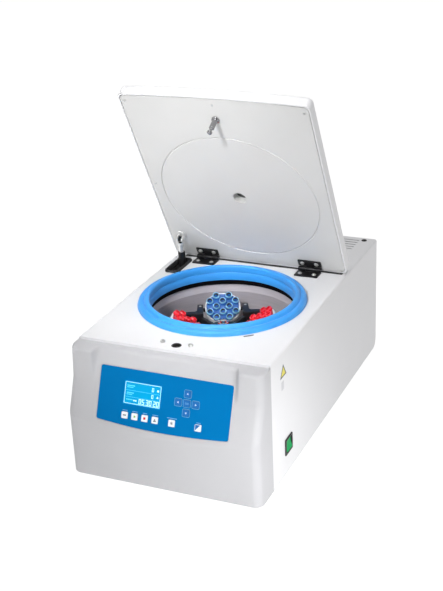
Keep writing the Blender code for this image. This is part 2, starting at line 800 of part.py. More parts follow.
def chamber():
    gasket_profile = (
        (0.1505, 0.0082),
        (0.1545, 0.0094),
        (0.1578, 0.0072),
        (0.1592, 0.0035),
        (0.1580, GAP),
        (0.1485, GAP),
        (0.1485, -0.0160),
        (0.1385, -0.0160),
        (0.1376, 0.0030),
        (0.1386, 0.0085),
        (0.1418, 0.0107),
        (0.1460, 0.0103),
        (0.1485, 0.0084),
    )
    at_deck = (0, 0, CASE_H)
    turned("chamber_gasket", gasket_profile, GASKET_BLUE, CHAMBER, at_deck)
    lip_profile = (
        (0.1580, -0.0023),
        (0.1580, -0.0262),
        (0.1405, -0.0262),
        (0.1405, -0.0163),
        (0.1515, -0.0163),
        (0.1515, -0.0023),
    )
    turned("chamber_lip_ring", lip_profile, RUBBER, CHAMBER, at_deck)
    floor = BOWL_FLOOR_Z - CASE_H
    wall = 0.0015
    bowl_profile = (
        (0.1575, -0.0265),
        (0.1575, -0.0280),
        (BOWL_R + wall, -0.0280),
        (BOWL_R + wall, floor + 0.0120),
        (BOWL_R - 0.0040, floor + 0.0010),
        (BOWL_R - 0.0130, floor - wall),
        (0.0160, floor - wall),
        (0.0160, floor),
        (BOWL_R - 0.0135, floor),
        (BOWL_R - 0.0050, floor + 0.0022),
        (BOWL_R, floor + 0.0130),
        (BOWL_R, -0.0265),
    )
    turned("chamber_bowl", bowl_profile, STAINLESS, CHAMBER, at_deck)


# ---------------------------------------------------------------- rotor and drive


def rotor():
    """Hub with four diagonal arms, each ending in a corner block that carries two trunnion pins."""
    low = 0.168
    high = 0.190
    yoke = mesh_object("rotor_yoke", cylinder(0.0220, 0.160, 0.192, sides=24), ROTOR_BLACK, ROTOR)
    block_in = 0.0382
    block_out = 0.0500
    block_end = TRUNNION_R + 0.0095
    for quadrant in range(4):
        turn = Matrix.Rotation(math.radians(90 * quadrant), 4, "Z")
        diagonal = turn @ Matrix.Rotation(math.radians(45), 4, "Z")
        arm = bmesh.new()
        add_box(arm, (0.010, -0.0034, low), (0.0600, 0.0034, high), diagonal)
        join(yoke, arm, f"arm_{quadrant}")
        for index, (x_end, y_end) in enumerate(((block_out, block_end), (block_end, block_out))):
            block = bmesh.new()
            add_box(block, (block_in, block_in, 0.1865), (x_end, y_end, 0.2045), turn)
            join(yoke, block, f"block_{quadrant}_{index}")
        pins = bmesh.new()
        pin_in = BUCKET_HALF_X - 0.0014
        for axis, centre in (("X", (0, TRUNNION_R, TRUNNION_Z)), ("Y", (TRUNNION_R, 0, TRUNNION_Z))):
            add_cylinder(pins, TRUNNION_PIN_R, pin_in, block_in + 0.003, axis, centre, 12)
        bmesh.ops.transform(pins, matrix=turn, verts=pins.verts)
        join(yoke, pins, f"pins_{quadrant}")
    cut(yoke, cylinder(0.0075, 0.15, 0.20, sides=20), "shaft_bore")
    smooth(yoke)
    nut = mesh_object("rotor_nut", cylinder(0.0100, 0.1923, 0.2050, sides=12), CHROME, ROTOR)
    join(nut, cylinder(0.0062, 0.2040, 0.2085, sides=12), "cap")
    smooth(nut)
    shaft = mesh_object("motor_shaft", cylinder(0.0072, 0.0833, 0.1915, sides=20), CHROME, ROTOR)
    smooth(shaft)
    motor_profile = (
        (0.0, 0.0830),
        (0.0140, 0.0830),
        (0.0140, 0.0800),
        (0.0380, 0.0760),
        (0.0480, 0.0680),
        (0.0480, 0.0120),
        (0.0440, 0.0060),
        (0.0, 0.0060),
    )
    turned("motor_body", motor_profile, MOTOR_GREY, CHAMBER, steps=24, closed=False)


def buckets():
    """Four hanging buckets with their tube racks, each in the frame of its own trunnion axis."""
    places = {
        "rear": (0, RACK_BLUE),
        "left": (90, RACK_RED),
        "front": (180, RACK_BLUE),
        "right": (270, RACK_RED),
    }
    for label, (degrees, rack_colour) in places.items():
        heading = empty(f"heading_{label}", ROTOR, (0, 0, 0), (0, 0, math.radians(degrees)))
        axis = empty(f"trunnion_{label}", heading, (0, TRUNNION_R, TRUNNION_Z), (BUCKET_TILT, 0, 0))
        shape = bmesh.new()
        add_box(
            shape,
            (-BUCKET_HALF_X, -BUCKET_HALF_Y, -BUCKET_DEPTH),
            (BUCKET_HALF_X, BUCKET_HALF_Y, BUCKET_TOP),
        )
        round_edges(shape, edges_along(shape, 2), BUCKET_CORNER, 5)
        bottom = [edge for edge in shape.edges if all(v.co.z < 0 for v in edge.verts)]
        round_edges(shape, bottom, 0.005, 2)
        bucket = mesh_object(f"bucket_{label}", shape, BUCKET_WHITE, axis)
        wall = 0.0032
        inner_x = BUCKET_HALF_X - wall
        inner_y = BUCKET_HALF_Y - wall
        corner = BUCKET_CORNER - wall
        hollow = box((-inner_x, -inner_y, 0.0030 - BUCKET_DEPTH), (inner_x, inner_y, 0.05), corner, 2, 5)
        cut(bucket, hollow, "hollow")
        groove_r = TRUNNION_PIN_R + 0.0004
        for side, sign in (("a", -1), ("b", 1)):
            edge = sign * (BUCKET_HALF_X - 0.0019)
            span = sorted((edge, sign * (BUCKET_HALF_X + 0.01)))
            cut(bucket, cylinder(groove_r, span[0], span[1], "X", (0, 0, 0), 12), f"groove_{side}")
            path = box((span[0], -groove_r, -0.1), (span[1], groove_r, 0.0))
            cut(bucket, path, f"path_{side}")
        smooth(bucket)
        rack_x = inner_x - 0.0004
        rack_y = inner_y - 0.0004
        stem = box((-rack_x, -rack_y, 0.0034 - BUCKET_DEPTH), (rack_x, rack_y, 0.0120), corner - 0.0004, 2, 5)
        rack = mesh_object(f"tube_rack_{label}", stem, rack_colour, axis)
        head_low = (-0.0320, -0.0312, BUCKET_TOP + 0.0003)
        join(rack, box(head_low, (0.0320, 0.0312, RACK_TOP), 0.022, 2, 4), "head")
        smooth(rack)


# ---------------------------------------------------------------- latch, switch, inlet and cooling


def latch():
    under = CASE_H - SHEET - GAP
    housing = mesh_object(
        "latch_housing",
        box((-0.017, 0.0050, under - 0.0480), (0.017, 0.0445, under)),
        BLACK_STEEL,
        FRAME,
    )
    cut(housing, box((-0.0115, -0.01, under - 0.0450), (0.0115, 0.06, under + 0.01)), "channel")
    join(housing, cylinder(0.0022, -0.0125, 0.0125, "X", (0, HOOK_Y, under - HOOK_DROP), 12), "pivot")
    axis = empty("hook_axis", FRAME, (0, HOOK_Y, under - HOOK_DROP))
    stem = box((-0.0050, -0.0045, -0.0050), (0.0050, 0.0045, 0.0270))
    hook = mesh_object("latch_hook", stem, CHROME, axis)
    join(hook, box((-0.0050, -0.0090, 0.0234), (0.0050, 0.0040, 0.0279)), "claw")
    cut(hook, cylinder(0.0025, -0.02, 0.02, "X", (0, 0, 0), 12), "bore")


def power_switch():
    side = CASE_W / 2
    place = (side - ROCKER_SET_IN, SWITCH_Y, SWITCH_Z)
    axis = empty("rocker_axis", FRAME, place, (0, -ROCKER_TILT, 0))
    bezel = mesh_object(
        "power_switch_bezel",
        box((GAP, -0.0180, -0.0165), (GAP + BEZEL_PROUD, 0.0180, 0.0165), 0.002, 0, 2),
        BLACK_PLASTIC,
        FRAME,
        (side, SWITCH_Y, SWITCH_Z),
    )
    join(bezel, box((-0.0200, -0.0148, -0.0133), (0.0010, 0.0148, 0.0133)), "body")
    cut(bezel, box((-0.0135, -0.0130, -0.0122), (0.05, 0.0130, 0.0122)), "well")
    body = box((-0.0030, -0.0124, -ROCKER_HALF_H), (ROCKER_FACE, 0.0124, ROCKER_HALF_H))
    return mesh_object("power_rocker", body, ROCKER_GREEN, axis)


def power_inlet():
    flange = box((-0.0175, -0.0046, -0.0138), (0.0175, -0.0025, 0.0138), 0.002, 1, 2)
    inlet = mesh_object("power_inlet", flange, BLACK_PLASTIC, FRAME, (INLET_X, CASE_D, INLET_Z))
    join(inlet, box((-0.0138, -0.0240, -0.0103), (0.0138, -0.0030, 0.0103)), "body")
    cut(inlet, box((-0.0120, -0.0200, -0.0082), (0.0120, 0.02, 0.0082)), "socket")


def cooling():
    compressor_profile = (
        (0.0, 0.1500),
        (0.0250, 0.1470),
        (0.0450, 0.1340),
        (0.0540, 0.1100),
        (0.0540, 0.0400),
        (0.0440, 0.0180),
        (0.0300, 0.0060),
        (0.0, 0.0060),
    )
    turned("compressor", compressor_profile, COMPRESSOR_BLACK, FRAME, (0.100, 0.470, 0), 20, False)
    low = (FAN_X - 0.062, 0.5450, FAN_Z - 0.062)
    high = (FAN_X + 0.062, 0.5650, FAN_Z + 0.062)
    mesh_object("condenser", box(low, high), ZINC, FRAME)
    hub = cylinder(0.0170, 0.0, 0.018, "Y", sides=16)
    fan = mesh_object("condenser_fan", hub, BLACK_PLASTIC, FRAME, (FAN_X, 0.5850, FAN_Z))
    for blade in range(5):
        turn = Matrix.Rotation(math.radians(72 * blade), 4, "Y")
        pitch = Matrix.Translation((0, 0.009, 0)) @ Matrix.Rotation(math.radians(35), 4, "Z")
        vane = bmesh.new()
        add_box(vane, (-0.0110, -0.0008, 0.0120), (0.0110, 0.0008, 0.0500), turn @ pitch)
        join(fan, vane, f"blade_{blade}")


case_wrap()
rear_panel()
base_plate()
feet()
front_fascia()
keypad()
lid()
hinges()
gas_spring()
strut_grommet()
chamber()
rotor()
buckets()
latch()
power_switch()
power_inlet()
cooling()
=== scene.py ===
"""Looks of the laboratory centrifuge: camera, floor, lights, materials and detail pieces round the CAD frame.

Lengths are in metres. Each piece is drawn in the frame of the part that it belongs to: the case, the
sloping keypad, the lid's hinge axis, the chamber's axis, a bucket's trunnion or the strut's upper eye.
"""

import math

import bmesh
import bpy
from mathutils import Matrix, Vector


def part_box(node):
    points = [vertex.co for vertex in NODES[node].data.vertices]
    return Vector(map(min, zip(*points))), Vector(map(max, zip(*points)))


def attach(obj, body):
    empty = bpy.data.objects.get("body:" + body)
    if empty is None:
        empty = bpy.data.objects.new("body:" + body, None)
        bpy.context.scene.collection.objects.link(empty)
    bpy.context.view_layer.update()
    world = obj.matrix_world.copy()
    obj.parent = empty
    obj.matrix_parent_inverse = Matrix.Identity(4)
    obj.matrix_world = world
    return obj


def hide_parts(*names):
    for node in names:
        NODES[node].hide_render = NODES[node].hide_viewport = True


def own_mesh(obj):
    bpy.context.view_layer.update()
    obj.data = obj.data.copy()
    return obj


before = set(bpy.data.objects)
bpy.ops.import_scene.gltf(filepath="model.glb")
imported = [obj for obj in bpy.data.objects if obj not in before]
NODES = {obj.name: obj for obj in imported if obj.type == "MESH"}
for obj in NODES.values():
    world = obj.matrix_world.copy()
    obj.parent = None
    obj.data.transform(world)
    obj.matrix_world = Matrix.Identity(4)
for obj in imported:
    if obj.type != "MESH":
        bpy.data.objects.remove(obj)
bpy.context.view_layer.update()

# ---------------------------------------------------------------- dimensions shared with the CAD model

CASE_W = 0.370
CASE_D = 0.6205
CASE_H = 0.2475
GAP = 0.0003
FASCIA_TOP = 0.2425
FASCIA_TOP_R = 0.006
FASCIA_BOTTOM_R = 0.005
FASCIA_FOOT = 0.0645
FASCIA_WALL = 0.0035
PANEL_SLOPE = 0.4
PANEL_PLANE = 0.016
PANEL_W = 0.254
PANEL_H = 0.0965
PANEL_BOW = 0.0062
PANEL_X = 0.0025
PANEL_TOP_Z = 0.2148
RECESS = 0.0011
CREASE_Z = 0.125
CREASE_DIP = 0.018
CHEEK_INNER = 0.131
CHEEK_OUTER = 0.1425
CORNER_R = 0.016
DISPLAY_X = -0.0421
DISPLAY_Y = 0.0065
DISPLAY_W = 0.0726
DISPLAY_H = 0.0414
KEY_SIDE = 0.0118
ROW_Y = -0.0340
PAD_X = 0.0442
PAD_Y = 0.0045
PAD_STEP = 0.0166
CHAMBER_Y = 0.2255
BOWL_R = 0.1435
BOWL_FLOOR = -0.1525
LID_OPEN = math.radians(61.8)
HINGE_Y = 0.410
HINGE_RISE = 0.0055
HINGE_X = 0.1105
HINGE_W = 0.048
KNUCKLE_R = 0.0047
LEAF_T = 0.0024
LID_FRONT = 0.4363
LID_T = 0.0260
LID_WALL = 0.0025
PLATE_T = 0.0020
SIGHT_R = 0.0150
GROOVE_R = 0.1587
LATCH_Y = 0.021
STRUT_X = -0.157
STRUT_EYE_Y = -0.054
STRUT_EYE_Z = -0.0055
EAR_R = 0.0060
ANCHOR_Y = 0.392
ANCHOR_Z = 0.110
ROTOR_TURN = math.radians(24)
TRUNNION_R = 0.0745
TRUNNION_Z = 0.196
BUCKET_TILT = math.radians(35)
BUCKET_X = 0.0350
BUCKET_Y = 0.0330
BUCKET_TOP = 0.008
BUCKET_CORNER = 0.031
BUCKET_DEPTH = 0.054
RACK_TOP = 0.0155
SWITCH_Y = 0.076
SWITCH_Z = 0.054
ROCKER_TILT = math.radians(10)
FAN_X = -0.045
FAN_Z = 0.125
INLET_X = 0.110
INLET_Z = 0.050

# ---------------------------------------------------------------- frames


def slant(z):
    """How far the sloping panel face stands in front of the seam at this height."""
    return PANEL_PLANE + PANEL_SLOPE * (CASE_H - z)


wrap_low, wrap_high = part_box("case_wrap")
CASE = Matrix.Translation(((wrap_low.x + wrap_high.x) / 2, wrap_low.y, wrap_low.z))
PANEL_MID_Z = PANEL_TOP_Z - PANEL_H / 2 / math.hypot(1, PANEL_SLOPE)
PANEL = (
    CASE
    @ Matrix.Translation((PANEL_X, -slant(PANEL_MID_Z), PANEL_MID_Z))
    @ Matrix.Rotation(math.atan2(1, PANEL_SLOPE), 4, "X")
)
DECK = CASE @ Matrix.Translation((0, 0, CASE_H))
HINGE = CASE @ Matrix.Translation((0, HINGE_Y, CASE_H + HINGE_RISE))
LID = HINGE @ Matrix.Rotation(-LID_OPEN, 4, "X")
CHAMBER = CASE @ Matrix.Translation((0, CHAMBER_Y, 0))
ROTOR = CHAMBER @ Matrix.Rotation(ROTOR_TURN, 4, "Z")
CHAMBER_TOP = DECK @ Matrix.Translation((0, CHAMBER_Y, 0))
SIDE = CASE @ Matrix.Translation((CASE_W / 2, 0, 0))
SWITCH = SIDE @ Matrix.Translation((0, SWITCH_Y, SWITCH_Z))


def strut_frame():
    """The strut's axis with the lid open: origin at its upper eye, Z up along the tube."""
    c, s = math.cos(LID_OPEN), math.sin(LID_OPEN)
    upper_y = HINGE_Y + STRUT_EYE_Y * c + STRUT_EYE_Z * s
    upper_z = CASE_H + HINGE_RISE - STRUT_EYE_Y * s + STRUT_EYE_Z * c
    lean = math.atan2(ANCHOR_Y - upper_y, upper_z - ANCHOR_Z)
    return CASE @ Matrix.Translation((STRUT_X, upper_y, upper_z)) @ Matrix.Rotation(lean, 4, "X")


STRUT = strut_frame()

# ---------------------------------------------------------------- materials


def tone(red, green, blue):
    """A colour as it looks on a screen, 0 to 255, as linear light."""

    def linear(value):
        value = value / 255
        return value / 12.92 if value <= 0.04045 else ((value + 0.055) / 1.055) ** 2.4

    return (linear(red), linear(green), linear(blue), 1.0)


def scaled(colour, factor):
    """A colour made lighter or darker by a factor."""
    return tuple(min(channel * factor, 1.0) for channel in colour[:3]) + (1.0,)


def surface(
    name,
    colour,
    roughness,
    metallic=0.0,
    mottle=0.02,
    mottle_size=0.05,
    rough_spread=0.04,
    grain=0.0001,
    grain_size=0.0012,
    stretch=(1.0, 1.0, 1.0),
    wear_and_edge_highlight=0.0,
    **sockets,
):
    """A surface with slow changes of colour and gloss, and a fine bump whose grain has a real size."""
    made = bpy.data.materials.new(name)
    made.use_nodes = True
    tree = made.node_tree
    shader = tree.nodes["Principled BSDF"]
    place = tree.nodes.new("ShaderNodeTexCoord")
    scale = tree.nodes.new("ShaderNodeMapping")
    scale.inputs["Scale"].default_value = stretch
    tree.links.new(place.outputs["Object"], scale.inputs["Vector"])

    def noise(size, detail):
        made_noise = tree.nodes.new("ShaderNodeTexNoise")
        made_noise.inputs["Scale"].default_value = 1 / size
        made_noise.inputs["Detail"].default_value = detail
        tree.links.new(scale.outputs["Vector"], made_noise.inputs["Vector"])
        return made_noise.outputs["Fac"]

    slow = noise(mottle_size, 4.0)
    ramp = tree.nodes.new("ShaderNodeValToRGB")
    ramp.color_ramp.elements[0].position = 0.35
    ramp.color_ramp.elements[1].position = 0.65
    ramp.color_ramp.elements[0].color = scaled(colour, 1 - mottle)
    ramp.color_ramp.elements[1].color = scaled(colour, 1 + mottle)
    tree.links.new(slow, ramp.inputs["Fac"])
    base = ramp.outputs["Color"]
    # Lighter colour on convex edges: rubbed edges on the black steel parts, painted highlight on the rotor's edges.
    if wear_and_edge_highlight:
        shape = tree.nodes.new("ShaderNodeNewGeometry")
        edge = tree.nodes.new("ShaderNodeMapRange")
        edge.inputs["From Min"].default_value = 0.52
        edge.inputs["From Max"].default_value = 0.62
        edge.inputs["To Max"].default_value = wear_and_edge_highlight
        tree.links.new(shape.outputs["Pointiness"], edge.inputs["Value"])
        mix = tree.nodes.new("ShaderNodeMix")
        mix.data_type = "RGBA"
        tree.links.new(edge.outputs["Result"], mix.inputs["Factor"])
        tree.links.new(base, mix.inputs["A"])
        mix.inputs["B"].default_value = scaled(colour, 1.6)
        base = mix.outputs["Result"]
    tree.links.new(base, shader.inputs["Base Color"])
    gloss = tree.nodes.new("ShaderNodeMapRange")
    gloss.inputs["To Min"].default_value = roughness - rough_spread
    gloss.inputs["To Max"].default_value = roughness + rough_spread
    tree.links.new(noise(mottle_size * 0.4, 3.0), gloss.inputs["Value"])
    tree.links.new(gloss.outputs["Result"], shader.inputs["Roughness"])
    bump = tree.nodes.new("ShaderNodeBump")
    bump.inputs["Strength"].default_value = 0.5
    bump.inputs["Distance"].default_value = grain
    tree.links.new(noise(grain_size, 2.0), bump.inputs["Height"])
    tree.links.new(bump.outputs["Normal"], shader.inputs["Normal"])
    shader.inputs["Metallic"].default_value = metallic
    for socket, value in sockets.items():
        shader.inputs[socket.replace("_", " ")].default_value = value
    return made


def glowing(name, colour, light, roughness=0.35):
    """A lit display or print: its own soft light over a glossy face."""
    made = surface(name, colour, roughness, mottle=0.03, mottle_size=0.02, grain=0.00002)
    shader = made.node_tree.nodes["Principled BSDF"]
    shader.inputs["Emission Color"].default_value = colour
    shader.inputs["Emission Strength"].default_value = light
    shader.inputs["Specular IOR Level"].default_value = 0.1
    return made


M = {
    "white_paint": surface(
        "white_powder_coat", tone(230, 230, 232), 0.45, mottle=0.010, mottle_size=0.12,
        grain=0.00006, grain_size=0.0016, Specular_IOR_Level=0.35,
    ),
    "lid_liner": surface(
        "lid_liner_paint", tone(208, 208, 207), 0.42, mottle=0.012, mottle_size=0.10,
        grain=0.00006, grain_size=0.0014,
    ),
    "fascia_plastic": surface(
        "fascia_moulding", tone(191, 191, 194), 0.48, mottle=0.012, mottle_size=0.08,
        grain=0.00010, grain_size=0.0009, Specular_IOR_Level=0.4,
    ),
    "zinc_sheet": surface(
        "zinc_sheet", tone(186, 188, 190), 0.38, 0.9, mottle=0.12, mottle_size=0.012,
        grain=0.00005, grain_size=0.004,
    ),
    "panel_blue": surface(
        "keypad_blue", tone(0, 112, 176), 0.55, mottle=0.02, mottle_size=0.05,
        grain=0.00004, grain_size=0.0005, Specular_IOR_Level=0.03,
    ),
    "lcd_blue": glowing("display_blue", tone(0, 152, 206), 0.26),
    "lcd_pale": glowing("display_pale", tone(190, 235, 255), 0.55),
    "lcd_faint": glowing("display_faint", tone(90, 205, 248), 0.40),
    "board_green": surface("circuit_board", tone(30, 110, 60), 0.5, mottle=0.1, mottle_size=0.006),
    "key_white": surface("key_white", tone(240, 243, 248), 0.32, grain=0.00003, Coat_Weight=0.3),
    "key_blue": surface("key_blue", tone(0, 104, 178), 0.34, grain=0.00003, Coat_Weight=0.2),
    "print_white": surface("print_white", tone(225, 238, 248), 0.4, grain=0.00001),
    "print_pale": surface("print_pale", tone(120, 180, 225), 0.4, grain=0.00001),
    "print_dark": surface("print_dark", tone(52, 60, 74), 0.4, grain=0.00001),
    "print_green": surface("print_green", tone(120, 176, 40), 0.4, grain=0.00001),
    "print_red": surface("print_red", tone(214, 20, 30), 0.4, grain=0.00001),
    "gasket_blue": surface(
        "gasket_silicone", tone(56, 158, 240), 0.45, mottle=0.03, mottle_size=0.03,
        grain=0.00008, grain_size=0.0012, Sheen_Weight=0.08,
    ),
    "black_rubber": surface(
        "black_rubber", tone(24, 22, 23), 0.55, mottle=0.10, mottle_size=0.01,
        grain=0.00012, grain_size=0.0010, Sheen_Weight=0.05,
    ),
    "lip_black": surface("lip_black", tone(7, 5, 6), 0.6, grain=0.00008, Specular_IOR_Level=0.05),
    "stainless_bowl": surface(
        "stainless_satin", tone(192, 186, 190), 0.45, 0.25, mottle=0.05, mottle_size=0.010,
        grain=0.00004, grain_size=0.0012, stretch=(0.25, 0.25, 6.0),
    ),
    "sight_glass": surface("sight_glass", tone(38, 40, 43), 0.16, mottle=0.02, grain=0.00001, IOR=1.5),
    "chrome_steel": surface(
        "chrome", tone(222, 222, 226), 0.12, 1.0, mottle=0.02, mottle_size=0.01,
        rough_spread=0.03, grain=0.00002, grain_size=0.002,
    ),
    "bright_steel": surface(
        "bright_steel", tone(238, 238, 238), 0.30, 0.75, mottle=0.02, mottle_size=0.004,
        grain=0.00002, grain_size=0.001,
    ),
    "turned_steel": surface(
        "turned_steel", tone(150, 150, 152), 0.16, 1.0, mottle=0.04, mottle_size=0.003,
        grain=0.00002, grain_size=0.0008,
    ),
    "screw_steel": surface(
        "screw_steel", tone(214, 214, 212), 0.34, 1.0, mottle=0.04, mottle_size=0.002,
        grain=0.00003, grain_size=0.0006,
    ),
    "black_steel": surface(
        "black_steel", tone(26, 26, 28), 0.34, 0.3, mottle=0.10, mottle_size=0.008,
        grain=0.00008, grain_size=0.0010, wear_and_edge_highlight=0.25,
    ),
    # Its lighter convex edges are painted highlight along the rotor arms' bevels.
    "rotor_black": surface(
        "rotor_anodised", tone(34, 34, 37), 0.36, 0.4, mottle=0.08, mottle_size=0.01,
        grain=0.00005, grain_size=0.0008, wear_and_edge_highlight=0.3,
    ),
    "bucket_white": surface("bucket_white", tone(236, 237, 241), 0.34, grain=0.00005, grain_size=0.001),
    "rack_blue": surface(
        "rack_blue", tone(0, 84, 164), 0.32, mottle=0.04, mottle_size=0.01, grain=0.00004,
        Coat_Weight=0.35, Coat_Roughness=0.15,
    ),
    # A lighter copy of the blue rack colour for the sleeves' rims: painted highlight.
    "rim_blue_painted_highlight": surface(
        "rack_blue_rims_painted_highlight", tone(146, 212, 240), 0.30, mottle=0.04, mottle_size=0.01, grain=0.00004,
        Coat_Weight=0.35, Coat_Roughness=0.15,
    ),
    "rack_red": surface(
        "rack_red", tone(232, 10, 34), 0.32, mottle=0.05, mottle_size=0.01, grain=0.00004,
        Coat_Weight=0.35, Coat_Roughness=0.15,
    ),
    # Dark colour inside the blue racks' wells: painted shade.
    "painted_well_shade": surface("painted_well_shade", tone(62, 54, 58), 0.45, mottle=0.2, mottle_size=0.004, grain=0.00003),
    # A lighter copy of the red rack colour for the sleeves' rims: painted highlight.
    "rim_red_painted_highlight": surface(
        "rack_red_rims_painted_highlight", tone(244, 70, 84), 0.28, mottle=0.04, mottle_size=0.01, grain=0.00004,
        Coat_Weight=0.35, Coat_Roughness=0.15,
    ),
    "motor_grey": surface("motor_casting", tone(120, 120, 124), 0.55, 0.5, mottle=0.12, grain=0.0002),
    "compressor_black": surface("compressor_enamel", tone(28, 28, 30), 0.28, mottle=0.1, Coat_Weight=0.4),
    "black_plastic": surface(
        "black_plastic", tone(26, 27, 28), 0.42, mottle=0.08, mottle_size=0.01,
        grain=0.00008, grain_size=0.0007,
    ),
    "rocker_green": surface(
        "rocker_green", tone(10, 156, 84), 0.40, mottle=0.05, mottle_size=0.006, grain=0.00002,
        Specular_IOR_Level=0.1,
    ),
    "sticker_yellow": surface("sticker_yellow", tone(226, 214, 80), 0.45, grain=0.00002),
    "sticker_grey": surface("sticker_grey", tone(206, 206, 210), 0.45, grain=0.00002),
    # Dark colour for the latch hole's liner, the bumpers' holes and the rear recess: painted shade. The dark arc by the
    # gasket uses it too.
    "painted_hole_shade": surface("painted_hole_shade", tone(40, 38, 38), 0.7, grain=0.00005),
}

CAD_SLOTS = {
    "case_wrap": "white_paint", "rear_panel": "zinc_sheet", "base_plate": "zinc_sheet",
    "foot_front_left": "black_rubber", "foot_front_right": "black_rubber",
    "foot_rear_left": "black_rubber", "foot_rear_right": "black_rubber",
    "keypad_overlay": "panel_blue", "display_module": "lcd_blue", "keypad_board": "board_green",
    "strut_anchor": "black_steel", "hinge_pin_left": "chrome_steel", "hinge_pin_right": "chrome_steel",
    "latch_housing": "black_steel", "motor_body": "motor_grey", "compressor": "compressor_black",
    "condenser": "zinc_sheet", "strut_lid_bracket": "black_steel", "gas_spring_rod": "chrome_steel",
    "motor_shaft": "chrome_steel", "latch_hook": "chrome_steel", "condenser_fan": "black_plastic",
    "key_select": "key_white", "key_start": "key_white", "key_stop": "key_white",
    "key_program": "key_white", "key_cooling": "key_white", "key_lid": "key_white",
    "key_up": "key_blue", "key_left": "key_blue", "key_enter": "key_blue",
    "key_right": "key_blue", "key_down": "key_blue",
}

for node, slot_name in CAD_SLOTS.items():
    NODES[node].data.materials.clear()
    NODES[node].data.materials.append(M[slot_name])

# ---------------------------------------------------------------- mesh helpers


def piece(name, shape, where, body, finish, stands_for=(), crease=35):
    """One visible piece from a bmesh, placed by its frame, riding on a body and wearing one material."""
    mesh = bpy.data.meshes.new(name)
    bmesh.ops.recalc_face_normals(shape, faces=shape.faces)
    shape.to_mesh(mesh)
    shape.free()
    mesh.materials.append(M[finish])
    mesh.shade_smooth()
    mesh.set_sharp_from_angle(angle=math.radians(crease))
    made = bpy.data.objects.new(name, mesh)
    bpy.context.scene.collection.objects.link(made)
    made.matrix_world = where
    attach(made, body)
    if stands_for:
        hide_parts(*stands_for)
    return made


def combine(target, source, matrix=None):
    """Adds another bmesh to this one, and frees it."""
    mesh = bpy.data.meshes.new("part")
    if matrix is not None:
        bmesh.ops.transform(source, matrix=matrix, verts=source.verts)
    bmesh.ops.recalc_face_normals(source, faces=source.faces)
    source.to_mesh(mesh)
    source.free()
    target.from_mesh(mesh)
    bpy.data.meshes.remove(mesh)
    return target


def carve(shape, cutter, operation="DIFFERENCE"):
    """The first bmesh minus, or joined with, the second."""
    sides = []
    for label, part in (("kept", shape), ("tool", cutter)):
        mesh = bpy.data.meshes.new(label)
        bmesh.ops.recalc_face_normals(part, faces=part.faces)
        part.to_mesh(mesh)
        part.free()
        made = bpy.data.objects.new(label, mesh)
        bpy.context.scene.collection.objects.link(made)
        sides.append(made)
    kept, tool = sides
    change = kept.modifiers.new("carve", "BOOLEAN")
    change.operation = operation
    change.solver = "EXACT"
    change.object = tool
    graph = bpy.context.evaluated_depsgraph_get()
    result = bmesh.new()
    result.from_object(kept, graph)
    for made in sides:
        mesh = made.data
        bpy.data.objects.remove(made)
        bpy.data.meshes.remove(mesh)
    return result


def rounded(left, right, rear, front, radius, bow=0.0, steps=6):
    """A rectangle in XY with rounded corners, counter-clockwise, whose front edge may bow outwards."""
    points = []
    corners = (
        (right - radius, rear - radius, 0),
        (left + radius, rear - radius, 90),
        (left + radius, front + radius, 180),
        (right - radius, front + radius, 270),
    )
    for x, y, start in corners:
        for step in range(steps + 1):
            angle = math.radians(start + 90 * step / steps)
            points.append((x + radius * math.cos(angle), y + radius * math.sin(angle)))
        if start == 180 and bow:
            span = right - left - 2 * radius
            for step in range(1, 24):
                share = step / 24
                points.append((left + radius + span * share, front - 4 * bow * share * (1 - share)))
    return points


def inset(half_x, half_y, radius, by, steps=6):
    """A centred rounded rectangle drawn in by a distance, with as many points at every inset."""
    return rounded(
        by - half_x, half_x - by, half_y - by, by - half_y, max(radius - by, 0.0002), 0.0, steps
    )


def loft(loops, cap_first=True, cap_last=True):
    """Skins a run of closed loops of 3-D points that all have the same number of points."""
    shape = bmesh.new()
    rings = [[shape.verts.new(point) for point in loop] for loop in loops]
    for low, high in zip(rings, rings[1:]):
        count = len(low)
        for index in range(count):
            after = (index + 1) % count
            shape.faces.new((low[index], low[after], high[after], high[index]))
    if cap_first:
        shape.faces.new(list(reversed(rings[0])))
    if cap_last:
        shape.faces.new(rings[-1])
    return shape


def lifted(loop, z):
    """A flat outline placed at one height."""
    return [(x, y, z) for x, y in loop]


def slab(outline, low, high, edge=0.0, sides=("top",), segments=3):
    """A flat outline made solid between two heights, with its upper or lower edges rounded."""
    shape = loft([lifted(outline, low), lifted(outline, high)])
    if edge:
        picked = []
        for name, height in (("top", high), ("bottom", low)):
            if name in sides:
                picked += [
                    item
                    for item in shape.edges
                    if all(abs(vert.co.z - height) < 1e-7 for vert in item.verts)
                ]
        bmesh.ops.bevel(
            shape, geom=picked, offset=edge, segments=segments, profile=0.5, affect="EDGES",
            clamp_overlap=True,
        )
    return shape


def block(low, high, edge=0.0, segments=2, turn=None):
    """A box between two corners with all its edges rounded."""
    shape = bmesh.new()
    size = Vector(high) - Vector(low)
    middle = (Vector(high) + Vector(low)) / 2
    place = Matrix.Translation(middle) @ Matrix.Diagonal((*size, 1.0))
    bmesh.ops.create_cube(shape, size=1.0, matrix=place)
    if edge:
        bmesh.ops.bevel(
            shape, geom=list(shape.edges), offset=edge, segments=segments, profile=0.5,
            affect="EDGES",
        )
    if turn is not None:
        bmesh.ops.transform(shape, matrix=turn, verts=shape.verts)
    return shape


